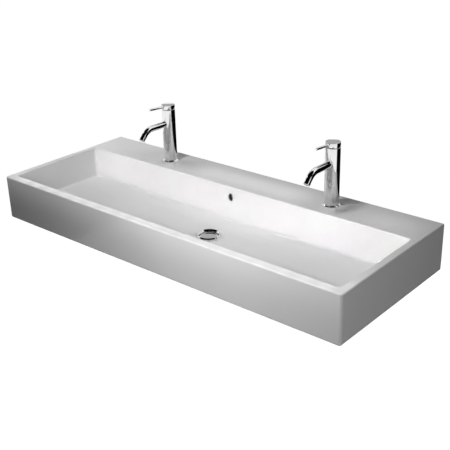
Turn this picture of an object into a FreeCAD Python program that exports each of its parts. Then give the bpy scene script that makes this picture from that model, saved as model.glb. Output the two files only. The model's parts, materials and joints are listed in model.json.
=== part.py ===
import FreeCAD, Part
import math
import os
import re
import Sketcher
from FreeCAD import Placement, Rotation, Vector

# Wall-hung ceramic basin with a rear deck, two pin-lever mixer taps and a push-open waste.
# Frame: +X right, -Y to the front, +Z up, origin on the wall midway between the two wall bolts.

SIZES = {
    # Overrun of every cut past the face that it opens
    "cut_overrun": 2.0,
    # Outside of the casting
    "basin_width": 1200.0,
    "basin_depth": 470.0,
    "basin_height": 132.5,
    "rim_above_bolts": 75.0,
    "front_corner_radius": 7.0,
    "rim_edge_radius": 4.0,
    "bottom_edge_radius": 5.0,
    # Bowl opening and walls
    "side_rim": 22.0,
    "front_rim": 26.5,
    "deck_depth": 130.0,
    "bowl_corner_radius": 9.0,
    "bowl_draft_angle": 3.4,
    "bowl_lip_radius": 2.5,
    "bowl_wall": 10.0,
    # Bowl floor: depth at the ends, extra fall along the length and extra fall round the waste
    "end_depth": 93.0,
    "length_fall": 5.5,
    "waste_fall": 16.0,
    "dish_half_length": 260.0,
    "floor_fillet_radius": 7.0,
    "floor_thickness": 13.0,
    # Underside and back of the casting
    "deck_thickness": 14.0,
    "back_wall": 14.0,
    "side_skirt": 32.0,
    "front_skirt": 36.0,
    "bolt_spacing": 280.0,
    "bolt_hole_radius": 8.0,
    # Overflow hole and its duct down to the waste
    "overflow_width": 17.0,
    "overflow_height": 24.0,
    "overflow_depth": 32.0,
    "duct_width": 44.0,
    "duct_depth": 14.0,
    "duct_height": 10.0,
    "duct_wall": 8.0,
    # Waste hole in the casting
    "waste_from_wall": 230.0,
    "waste_hole_radius": 23.0,
    "seat_recess_radius": 31.0,
    "seat_recess_depth": 12.0,
    "boss_radius": 48.0,
    "boss_depth": 34.0,
    # Waste flange, cup and tail
    "flange_radius": 35.0,
    "flange_height": 5.5,
    "flange_lift": 0.3,
    "flange_land": 4.0,
    "flange_slope": 5.0,
    "flange_round": 2.2,
    "cup_radius": 30.0,
    "cup_wall": 2.5,
    "cup_floor": 2.0,
    "tail_radius": 20.95,
    "tail_wall": 2.45,
    "tail_length": 86.0,
    "tail_slot_width": 9.0,
    "tail_groove_width": 2.0,
    "tail_groove_depth": 0.9,
    "seal_thickness": 2.0,
    "tail_seal_radius": 34.0,
    "tail_seal_thickness": 5.0,
    "tail_washer_thickness": 2.0,
    "tail_washer_radius": 33.0,
    "back_nut_radius": 30.0,
    "back_nut_height": 10.0,
    "thread_gap": 0.05,
    # Push-open plug
    "plug_radius": 26.0,
    "plug_thickness": 2.6,
    "plug_crown": 1.2,
    "plug_recess": 8.7,
    "plug_seal_radius": 26.6,
    "plug_seat_gap": 0.3,
    "stem_radius": 4.0,
    "stem_length": 34.0,
    "running_gap": 0.05,
    "click_radius": 8.0,
    "click_length": 34.0,
    "click_top_gap": 6.0,
    "click_arm_width": 4.0,
    "click_arm_height": 8.0,
    # Tap, outside
    "tap_spacing": 600.0,
    "tap_from_wall": 64.0,
    "tap_hole_radius": 17.5,
    "tap_height": 178.0,
    "body_radius": 20.5,
    "edge_round": 0.6,
    "base_ring_radius": 25.0,
    "base_ring_height": 3.0,
    "base_ring_round": 1.4,
    "base_seal_radius": 22.0,
    "base_seal_thickness": 1.0,
    "spigot_radius": 16.0,
    "spigot_depth": 4.0,
    "fit_gap": 0.1,
    # Tap spout
    "spout_height": 119.4,
    "spout_radius": 9.3,
    "spout_wall": 2.0,
    "spout_root": 10.0,
    "spout_run": 76.0,
    "spout_bend_radius": 42.0,
    "spout_bend_angle": 48.0,
    "spout_nose": 16.5,
    "aerator_length": 8.0,
    "aerator_wall": 1.0,
    "aerator_insert_height": 5.0,
    "aerator_seal_thickness": 1.5,
    "aerator_hole_radius": 0.9,
    "aerator_hole_circle": 3.6,
    # Waterways in the tap body
    "inlet_forward": 3.0,
    "inlet_apart": 16.0,
    "inlet_mouth_radius": 5.6,
    "inlet_mouth_depth": 5.0,
    "inlet_thread_radius": 4.5,
    "inlet_thread_depth": 14.0,
    "inlet_bore_radius": 3.0,
    "outlet_forward": 6.0,
    "outlet_bore_radius": 3.5,
    "waterway_radius": 3.8,
    "port_radius": 2.5,
    # Tap cartridge, stacked up from its seat in the body
    "cartridge_seat": 130.0,
    "cartridge_radius": 13.8,
    "cartridge_gap": 0.2,
    "cartridge_seal_thickness": 1.5,
    "cartridge_seal_width": 2.2,
    "cartridge_base_height": 3.5,
    "disc_height": 3.5,
    "disc_radius": 12.0,
    "moving_disc_radius": 9.0,
    "moving_disc_height": 5.5,
    "housing_height": 22.0,
    "housing_lip": 5.0,
    "turret_radius": 11.9,
    "turret_neck_radius": 9.3,
    "turret_neck_height": 7.2,
    "turret_play": 0.3,
    "nut_height": 5.6,
    "nut_bore_radius": 10.0,
    "pivot_above_turret": 5.7,
    "pivot_radius": 1.5,
    "pivot_half_length": 11.3,
    "lift_angle": 18.0,
    # Lever stem and handle
    "spindle_radius": 3.5,
    "spindle_ball_radius": 2.4,
    "spindle_ball_below": 7.5,
    "spindle_neck_radius": 1.7,
    "spindle_slot_gap": 0.25,
    "cap_height": 13.4,
    "seam_gap": 1.2,
    "cap_hub_radius": 7.5,
    "cap_wall": 3.0,
    "cap_recess": 3.5,
    "cap_round": 0.8,
    "socket_roof": 4.8,
    "lever_radius": 3.8,
    "lever_reach": 79.0,
    "lever_rise_angle": 4.5,
    "lever_below_top": 4.5,
    "lever_socket": 3.5,
    "lever_tip_round": 0.9,
    "lever_thread_radius": 2.5,
    "lever_thread_length": 7.0,
    "grub_length": 4.5,
    "grub_gap": 0.3,
    # Fixing under the deck
    "stud_back": 10.0,
    "stud_radius": 4.0,
    "stud_engagement": 16.0,
    "stud_length": 60.0,
    "clamp_radius": 22.0,
    "clamp_slot_half_width": 14.5,
    "clamp_slot_back": 4.0,
    "clamp_seal_thickness": 3.0,
    "clamp_plate_thickness": 2.5,
    "fixing_nut_radius": 7.5,
    "fixing_nut_height": 10.0,
}

FLOOR_COLUMNS = 37
FLOOR_ROWS = 19
CLICK_ARMS = 3
TAIL_SLOTS = 4
AERATOR_HOLES = 6
HEX_SIDES = 6
SIZE_WORD = re.compile(r"[a-z]+(?:_[a-z]+)+")
UP = Vector(0, 0, 1)
RIGHT = Vector(1, 0, 0)
UPRIGHT = Rotation()
FACING_FRONT = Rotation(UP, -90)
ALONG_BACK = Rotation(RIGHT, -90)
TO_FRONT = Rotation(RIGHT, 90)
TO_RIGHT = Rotation(Vector(0, 1, 0), 90)
UPRIGHT_OVAL = Rotation(UP, RIGHT, Vector(0, 1, 0))

doc = FreeCAD.newDocument("wall_basin")
sheet = doc.addObject("Spreadsheet::Sheet", "Sizes")
for row, (alias, value) in enumerate(SIZES.items(), start=1):
    sheet.set(f"A{row}", alias)
    sheet.set(f"B{row}", str(value))
    sheet.setAlias(f"B{row}", alias)
doc.recompute()


def size(alias):
    """Value of one driving dimension in the sheet."""
    return float(sheet.get(alias))


def bind(item, path, formula):
    """Tie one property to the sheet; every word with an underscore is a driving dimension."""
    item.setExpression(path, SIZE_WORD.sub(lambda word: "Sizes." + word.group(), formula))


def place(item, spot, turn=UPRIGHT):
    """Turn an object and tie its position to the sheet."""
    item.Placement = Placement(Vector(), turn)
    for axis, formula in zip("xyz", spot):
        bind(item, f"Placement.Base.{axis}", formula)
    return item


def primitive(kind, name, sizes, spot=("0", "0", "0"), turn=UPRIGHT):
    """Part primitive whose sizes and position are tied to the sheet."""
    item = doc.addObject(kind, name)
    for path, formula in sizes.items():
        bind(item, path, formula)
    return place(item, spot, turn)


def cylinder(name, radius, height, spot=("0", "0", "0"), turn=UPRIGHT):
    """Upright round bar, or one turned another way."""
    return primitive("Part::Cylinder", name, {"Radius": radius, "Height": height}, spot, turn)


def oval_bar(name, tall, wide, length, spot):
    """Bar of oval section that lies front to back, from its half height and half width."""
    section = {"MajorRadius": tall, "MinorRadius": wide}
    item = doc.addObject("Part::Extrusion", name)
    item.Base = primitive("Part::Ellipse", name + "_section", section, spot, UPRIGHT_OVAL)
    item.DirMode = "Normal"
    item.Solid = True
    bind(item, "LengthFwd", length)
    return item


def block(name, low, high):
    """Box between two corners."""
    names = ("Length", "Width", "Height")
    spans = {side: f"({top}) - ({base})" for side, base, top in zip(names, low, high)}
    return primitive("Part::Box", name, spans, low)


def fused(name, shapes):
    """Union of several objects."""
    item = doc.addObject("Part::MultiFuse", name)
    item.Shapes = shapes
    return item


def cut(name, base, tool):
    """First object less the second."""
    item = doc.addObject("Part::Cut", name)
    item.Base = base
    item.Tool = tool
    return item


def common(name, first, second):
    """What two objects share."""
    item = doc.addObject("Part::Common", name)
    item.Base = first
    item.Tool = second
    return item


def rounded(name, base, radius, wanted):
    """Fillet of the edges that a test picks by their middle point."""
    doc.recompute()
    item = doc.addObject("Part::Fillet", name)
    item.Base = base
    edges = enumerate(base.Shape.Edges, start=1)
    item.Edges = [(index, radius, radius) for index, edge in edges if wanted(edge)]
    return item


def middle(edge):
    """Point halfway along an edge."""
    return edge.valueAt((edge.FirstParameter + edge.LastParameter) / 2)


def near(first, second):
    """Whether two lengths are the same but for rounding."""
    return math.isclose(first, second, abs_tol=1e-4)


def origin_plane(body, role):
    """Origin plane of a body by its role."""
    return next(plane for plane in body.Origin.OriginFeatures if plane.Role == role)


def outline(body, name, corners, role="XZ_Plane"):
    """Closed sketch of straight lines whose corners are tied to the sheet."""
    sketch = body.newObject("Sketcher::SketchObject", name)
    sketch.AttachmentSupport = [(origin_plane(body, role), "")]
    sketch.MapMode = "FlatFace"
    count = len(corners)
    turns = [2 * math.pi * step / count for step in range(count)]
    start = [Vector(math.cos(turn), math.sin(turn), 0) for turn in turns]
    for index in range(count):
        sketch.addGeometry(Part.LineSegment(start[index], start[(index + 1) % count]), False)
    for index in range(count):
        sketch.addConstraint(Sketcher.Constraint("Coincident", index, 2, (index + 1) % count, 1))
    for index, corner in enumerate(corners):
        for kind, formula, first in zip(("DistanceX", "DistanceY"), corner, start[index]):
            number = sketch.addConstraint(Sketcher.Constraint(kind, index, 1, first))
            bind(sketch, f"Constraints[{number}]", formula)
    return sketch


def turned(label, profile, spot=("0", "0", "0"), turn=UPRIGHT, rounds=None):
    """Body of revolution about its own Z from corners of radius and height.

    rounds gives, for the number of a corner, the size that rounds its edge.
    """
    body = doc.addObject("PartDesign::Body", label)
    body.Label = label
    sketch = outline(body, label + "_profile", profile)
    spin = body.newObject("PartDesign::Revolution", label + "_turned")
    spin.Profile = sketch
    spin.ReferenceAxis = (sketch, ["V_Axis"])
    spin.Angle = 360
    sketch.Visibility = False
    doc.recompute()
    for corner, alias in (rounds or {}).items():
        point = sketch.Geometry[corner].StartPoint
        soften(body, point.x, point.y, alias)
    return place(body, spot, turn)


def soften(body, radius, height, alias):
    """Fillet the round edge of a turned body at one radius and height."""
    base = body.Tip
    names = [f"Edge{index}" for index, edge in enumerate(base.Shape.Edges, start=1)
             if isinstance(edge.Curve, Part.Circle) and near(edge.Curve.Radius, radius)
             and near(edge.Curve.Center.z, height)]
    fillet = body.newObject("PartDesign::Fillet", body.Label + "_round")
    fillet.Base = (base, names)
    bind(fillet, "Radius", alias)
    doc.recompute()
    return fillet


def named(item, label):
    """Give the finished object of a sub-part the name of its file."""
    item.Label = label
    pieces.append(item)
    return item


pieces = []

# Levels shared by the casting, the waste and the taps
RIM = "rim_above_bolts"
UNDERSIDE = "rim_above_bolts - basin_height"
WASTE_DEPTH = "(end_depth + length_fall + waste_fall)"
WASTE_LEVEL = f"(rim_above_bolts - {WASTE_DEPTH})"
BOSS_LEVEL = f"({WASTE_LEVEL} - boss_depth)"
DUCT_LEVEL = f"({BOSS_LEVEL} + duct_wall)"
DUCT_FACE = "(deck_depth - bowl_wall)"


def floor_depth(x, y):
    """Depth of the bowl floor under the rim at one place in plan."""
    half_length = size("basin_width") / 2 - size("side_rim")
    flat = size("flange_radius") + size("cut_overrun")
    waste_y = -size("waste_from_wall")
    back_reach = size("waste_from_wall") - size("deck_depth")
    front_reach = size("basin_depth") - size("front_rim") - size("waste_from_wall")
    reach = back_reach if y > waste_y else front_reach
    along = abs(x) / half_length
    beside = min(max(abs(x) - flat, 0) / (size("dish_half_length") - flat), 1)
    across = max(abs(y - waste_y) - flat, 0) / (reach - flat)
    dish = (1 - beside ** 2) ** 2 * (1 - across ** 2)
    return size("end_depth") + size("length_fall") * (1 - along ** 2) + size("waste_fall") * dish


def above_floor(name, drop):
    """Space above the bowl floor, or above a surface that lies lower by a drop."""
    half_width = size("basin_width") / 2
    rows = []
    for column in range(FLOOR_COLUMNS):
        x = half_width * (2 * column / (FLOOR_COLUMNS - 1) - 1)
        ys = [-size("basin_depth") * row / (FLOOR_ROWS - 1) for row in range(FLOOR_ROWS)]
        rows.append([Vector(x, y, size("rim_above_bolts") - floor_depth(x, y) - drop) for y in ys])
    surface = Part.BSplineSurface()
    surface.interpolate(rows)
    item = doc.addObject("Part::Feature", name)
    item.Shape = surface.toShape().extrude(UP * size("basin_height") * 2)
    return item


def bowl_block(name, margin):
    """Tapered block of the bowl opening grown by a margin, from under the floor to above the rim."""
    deep = f"({WASTE_DEPTH} + floor_thickness + cut_overrun)"
    inset = f"{deep} * tan(bowl_draft_angle) - ({margin})"
    flare = f"cut_overrun * tan(bowl_draft_angle) + ({margin})"
    half = "(basin_width / 2 - side_rim)"
    front = "(basin_depth - front_rim)"
    sizes = {
        "Ymin": f"-{deep}", "Xmin": f"-{half} + {inset}", "Xmax": f"{half} - ({inset})",
        "Zmin": f"deck_depth + {inset}", "Zmax": f"{front} - ({inset})",
        "Ymax": "cut_overrun", "X2min": f"-{half} - ({flare})", "X2max": f"{half} + {flare}",
        "Z2min": f"deck_depth - ({flare})", "Z2max": f"{front} + {flare}",
    }
    wedge = primitive("Part::Wedge", name, sizes, ("0", "0", RIM), Rotation(RIGHT, 90))

    def rises(edge):
        return abs(edge.tangentAt(edge.FirstParameter).z) > math.cos(math.pi / 4)

    return rounded(name + "_corners", wedge, size("bowl_corner_radius"), rises)


def outer_block():
    """Outside of the casting, with its front corners, rim and base edges rounded."""
    half = size("basin_width") / 2
    front = -size("basin_depth")
    levels = {"rim": size("rim_above_bolts"), "base": size("rim_above_bolts") - size("basin_height")}
    low_corner = ("-basin_width / 2", "-basin_depth", UNDERSIDE)
    solid = block("outer_block", low_corner, ("basin_width / 2", "0", RIM))

    def at_front_corner(edge):
        return near(middle(edge).y, front) and near(abs(middle(edge).x), half)

    def at_rim(edge):
        return not near(middle(edge).y, 0) and near(middle(edge).z, levels["rim"])

    def at_base(edge):
        return not near(middle(edge).y, 0) and near(middle(edge).z, levels["base"])

    solid = rounded("outer_corners", solid, size("front_corner_radius"), at_front_corner)
    solid = rounded("outer_rim", solid, size("rim_edge_radius"), at_rim)
    return rounded("outer_base", solid, size("bottom_edge_radius"), at_base)


def bowl_space():
    """Space inside the bowl, with the fillet where its walls meet the floor."""
    raw = common("bowl_raw", bowl_block("bowl_form", "0"), above_floor("floor_space", 0))
    doc.recompute()
    floor_face = next(face for face in raw.Shape.Faces if isinstance(face.Surface, Part.BSplineSurface))

    def on_floor(edge):
        return any(edge.isSame(other) for other in floor_face.Edges)

    return rounded("bowl_space", raw, size("floor_fillet_radius"), on_floor)


def duct_and_boss():
    """Lumps under the bowl: the overflow duct, down and then forwards, and the waste boss."""
    side = "(duct_width / 2 + duct_wall)"
    back = f"-({DUCT_FACE} - duct_depth - duct_wall)"
    ceiling = RIM + " - deck_thickness"
    down = block("duct_down", (f"-{side}", "-deck_depth", BOSS_LEVEL), (side, back, ceiling))
    floor = RIM + " - end_depth"
    along = block("duct_along", (f"-{side}", "-waste_from_wall", BOSS_LEVEL), (side, back, floor))
    boss_spot = ("0", "-waste_from_wall", BOSS_LEVEL)
    boss = cylinder("waste_boss", "boss_radius", "boss_depth + waste_fall", boss_spot)
    return fused("duct_and_boss", [down, along, boss])


def underside_hollow(lumps):
    """Open space under the bowl and the deck, behind the skirts."""
    low = ("-basin_width / 2 + side_skirt", "-basin_depth + front_skirt", UNDERSIDE + " - cut_overrun")
    high = ("basin_width / 2 - side_skirt", "-back_wall", RIM + " - deck_thickness")
    under_bowl = common("bowl_outside", bowl_block("bowl_outer_form", "bowl_wall"),
                        above_floor("underfloor_space", size("floor_thickness")))
    kept = fused("kept_inside", [under_bowl, lumps])
    return cut("underside_hollow", block("hollow_block", low, high), kept)


def water_ways():
    """Overflow hole, its channel down and forwards inside the duct, and the waste hole with its recess."""
    side = "duct_width / 2"
    back = f"-({DUCT_FACE} - duct_depth)"
    top = RIM + " - overflow_depth + overflow_height / 2"
    down = block("channel_down", (f"-{side}", f"-{DUCT_FACE}", DUCT_LEVEL), (side, back, top))
    ceiling = DUCT_LEVEL + " + duct_height"
    along = block("channel_along", (f"-{side}", "-waste_from_wall", DUCT_LEVEL), (side, back, ceiling))
    hole_spot = ("0", "-deck_depth - bowl_wall - cut_overrun", RIM + " - overflow_depth")
    hole_length = "2 * bowl_wall + cut_overrun + duct_depth / 2"
    hole = oval_bar("overflow_hole", "overflow_height / 2", "overflow_width / 2", hole_length, hole_spot)
    drain_spot = ("0", "-waste_from_wall", BOSS_LEVEL + " - cut_overrun")
    drain = cylinder("waste_hole", "waste_hole_radius", "boss_depth + waste_fall + cut_overrun", drain_spot)
    seat_spot = ("0", "-waste_from_wall", WASTE_LEVEL + " - seat_recess_depth")
    seat = cylinder("seat_recess", "seat_recess_radius", "seat_recess_depth + waste_fall", seat_spot)
    return [down, along, hole, drain, seat]


def fixing_holes():
    """Two tap holes through the deck and two bolt holes through the back wall."""
    holes = []
    for side, sign in (("left", "-"), ("right", "")):
        tap_spot = (f"{sign}tap_spacing / 2", "-tap_from_wall", RIM + " - deck_thickness - cut_overrun")
        length = "deck_thickness + 2 * cut_overrun"
        holes.append(cylinder(f"{side}_tap_hole", "tap_hole_radius", length, tap_spot))
        bolt_spot = (f"{sign}bolt_spacing / 2", "-back_wall - cut_overrun", "0")
        length = "back_wall + 2 * cut_overrun"
        holes.append(cylinder(f"{side}_bolt_hole", "bolt_hole_radius", length, bolt_spot, ALONG_BACK))
    return holes


def casting():
    """The basin: block, bowl, underside hollow, overflow duct, waste boss and every hole."""
    lumps = duct_and_boss()
    tools = [underside_hollow(lumps), bowl_space(), *water_ways(), *fixing_holes()]
    raw = cut("basin_raw", fused("basin_block", [outer_block(), lumps]), fused("basin_cuts", tools))
    doc.recompute()
    reach = size("basin_width") / 2 - size("side_rim") + size("cut_overrun")
    front = size("front_rim") / 2 - size("basin_depth")
    back = size("cut_overrun") - size("deck_depth")

    def at_lip(edge):
        point = middle(edge)
        return near(point.z, size("rim_above_bolts")) and abs(point.x) < reach and front < point.y < back

    return named(rounded("basin_finished", raw, size("bowl_lip_radius"), at_lip), "basin")


# Levels of the waste, above and below the bowl floor where the waste sits
CUP_BASE = "(seal_thickness - seat_recess_depth)"
CUP_FLOOR = f"({CUP_BASE} + cup_floor)"
PLUG_TOP = "(flange_height - plug_recess)"
PLUG_BASE = f"({PLUG_TOP} - plug_thickness)"
NUT_TOP = "(-boss_depth - tail_seal_thickness - tail_washer_thickness)"
NUT_BASE = f"({NUT_TOP} - back_nut_height)"
CLICK_TOP = f"({CUP_FLOOR} - click_top_gap)"
TAIL_BORE = "(tail_radius - tail_wall)"
WASTE_SPOT = ("0", "-waste_from_wall", WASTE_LEVEL)


def waste_spot(level):
    """Place on the waste's axis at a level from the bowl floor."""
    return "0", "-waste_from_wall", f"{WASTE_LEVEL} + ({level})"


def pattern(body, feature, axis, count):
    """Repeat a feature round an axis by equal steps of a whole turn."""
    copies = body.newObject("PartDesign::PolarPattern", body.Label + "_pattern")
    copies.Originals = [feature]
    copies.Axis = axis
    copies.Angle = 360
    copies.Occurrences = count
    body.Tip = copies
    doc.recompute()
    return copies


def ring(label, inner, outer, low, high, spot):
    """Flat ring between two radii and two levels."""
    return named(turned(label, [(inner, low), (outer, low), (outer, high), (inner, high)], spot), label)


def waste_flange():
    """Ring, cup and threaded tail turned in one piece, with overflow slots and a groove below the nut."""
    mouth = "flange_radius - flange_land"
    groove = "tail_radius - tail_groove_depth"
    groove_low = f"{NUT_BASE} - tail_groove_width"
    body = turned("waste_flange", [
        (TAIL_BORE, "-tail_length"), ("tail_radius", "-tail_length"), ("tail_radius", groove_low),
        (groove, groove_low), (groove, NUT_BASE), ("tail_radius", NUT_BASE), ("tail_radius", CUP_BASE),
        ("cup_radius", CUP_BASE), ("cup_radius", "flange_lift"), ("flange_radius", "flange_lift"),
        ("flange_radius", "flange_height"), (mouth, "flange_height"),
        ("cup_radius - cup_wall", "flange_height - flange_slope"),
        ("cup_radius - cup_wall", CUP_FLOOR), (TAIL_BORE, CUP_FLOOR),
    ], WASTE_SPOT, rounds={10: "flange_round", 11: "flange_round"})
    low = "duct_wall - boss_depth"
    high = f"{low} + duct_height"
    half = "tail_slot_width / 2"
    slot = outline(body, "tail_slot", [(f"-{half}", low), (half, low), (half, high), (f"-{half}", high)])
    pocket = body.newObject("PartDesign::Pocket", "tail_slot_cut")
    pocket.Profile = slot
    bind(pocket, "Length", "tail_radius + cut_overrun")
    doc.recompute()
    pattern(body, pocket, (slot, ["V_Axis"]), TAIL_SLOTS)
    return named(body, "waste_flange")


def waste():
    """Waste fitting clamped through the boss, and the push-open plug in its cup."""
    waste_flange()
    clear = "tail_radius + fit_gap"
    ring("flange_seal", clear, "cup_radius", "-seat_recess_depth", CUP_BASE, WASTE_SPOT)
    seal_low = "-boss_depth - tail_seal_thickness"
    chamfer = "tail_seal_thickness / 2"
    named(turned("tail_seal", [
        (clear, seal_low), ("tail_seal_radius", seal_low), ("tail_seal_radius", f"-boss_depth - {chamfer}"),
        (f"tail_seal_radius - {chamfer}", "-boss_depth"), (clear, "-boss_depth"),
    ], WASTE_SPOT), "tail_seal")
    ring("tail_washer", clear, "tail_washer_radius", NUT_TOP, seal_low, WASTE_SPOT)
    nut_spot = waste_spot(NUT_BASE)
    nut = hexagon("back_nut_blank", "back_nut_radius", "back_nut_height", nut_spot)
    bore = cylinder("back_nut_bore", "tail_radius + thread_gap", "back_nut_height", nut_spot)
    named(cut("back_nut", nut, bore), "back_nut")
    click_housing()

    named(turned("plug_stem", [
        ("0", f"{PLUG_BASE} - stem_length"), ("stem_radius", f"{PLUG_BASE} - stem_length"),
        ("stem_radius", PLUG_BASE), ("0", PLUG_BASE),
    ], WASTE_SPOT, rounds={1: "edge_round"}), "plug_stem")
    seat = f"{CUP_FLOOR} + plug_seat_gap"
    ring("plug_seal", "stem_radius + fit_gap", "plug_seal_radius", seat, PLUG_BASE, WASTE_SPOT)
    crown = "(plug_radius ^ 2 + plug_crown ^ 2) / (2 * plug_crown)"
    blank = turned("plug_blank", [
        ("0", PLUG_BASE), ("plug_radius", PLUG_BASE), ("plug_radius", f"{PLUG_TOP} + plug_crown"),
        ("0", f"{PLUG_TOP} + plug_crown"),
    ], WASTE_SPOT)
    dome_spot = waste_spot(f"{PLUG_TOP} + plug_crown - {crown}")
    dome = primitive("Part::Sphere", "plug_dome", {"Radius": crown}, dome_spot)
    named(common("plug_cap", blank, dome), "plug_cap")


def click_housing():
    """Guide of the plug's stem, held on the tail's axis by arms."""
    low = f"{CLICK_TOP} - click_length"
    bore = "stem_radius + running_gap"
    floor = f"{low} + stem_radius"
    core = turned("click_core", [
        ("0", low), ("click_radius", low), ("click_radius", CLICK_TOP),
        (bore, CLICK_TOP), (bore, floor), ("0", floor),
    ], WASTE_SPOT)
    root = "(click_radius + stem_radius) / 2"
    tip = f"{TAIL_BORE} - thread_gap"
    arm_low = f"{CLICK_TOP} - click_arm_height"
    arm = outline(core, "click_arm", [(root, arm_low), (tip, arm_low), (tip, CLICK_TOP), (root, CLICK_TOP)])
    pad = core.newObject("PartDesign::Pad", "click_arm_pad")
    pad.Profile = arm
    pad.Midplane = True
    bind(pad, "Length", "click_arm_width")
    doc.recompute()
    pattern(core, pad, (arm, ["V_Axis"]), CLICK_ARMS)
    return named(core, "click_housing")


def hexagon(name, radius, height, spot):
    """Upright six-sided bar."""
    bar = primitive("Part::Prism", name, {"Circumradius": radius, "Height": height}, spot)
    bar.Polygon = HEX_SIDES
    return bar


# Levels of a tap above the deck
BODY_TOP = "(tap_height - cap_height - seam_gap)"
CAP_BASE = "(tap_height - cap_height)"
SOCKET_ROOF = "(tap_height - socket_roof)"
BASE_LEVEL = "(cartridge_seat + cartridge_seal_thickness)"
DISC_LEVEL = f"({BASE_LEVEL} + cartridge_base_height)"
MOVING_LEVEL = f"({DISC_LEVEL} + disc_height)"
TURRET_LEVEL = f"({MOVING_LEVEL} + moving_disc_height + turret_play)"
HOUSING_TOP = f"({DISC_LEVEL} + housing_height)"
LIP_LEVEL = f"({HOUSING_TOP} - housing_lip)"
SHOULDER = f"({LIP_LEVEL} - turret_play)"
NECK_TOP = f"({SHOULDER} + turret_neck_height)"
PIVOT = f"({TURRET_LEVEL} + pivot_above_turret)"
BALL = f"({PIVOT} - spindle_ball_below)"
LEVER_LEVEL = "(tap_height - lever_below_top - body_radius * tan(lever_rise_angle))"
LEVER_SHOULDER = "(body_radius - lever_socket)"
CLAMP_TOP = "(-deck_thickness)"
PLATE_TOP = f"({CLAMP_TOP} - clamp_seal_thickness)"
PLATE_BASE = f"({PLATE_TOP} - clamp_plate_thickness)"
SPOUT_BORE = "(spout_radius - spout_wall)"
OUTLET_FORWARD = ("(spout_run + spout_bend_radius * sin(spout_bend_angle)"
                  " + spout_nose * cos(spout_bend_angle))")
OUTLET_HEIGHT = ("(spout_height - spout_bend_radius * (1 - cos(spout_bend_angle))"
                 " - spout_nose * sin(spout_bend_angle))")


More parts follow.
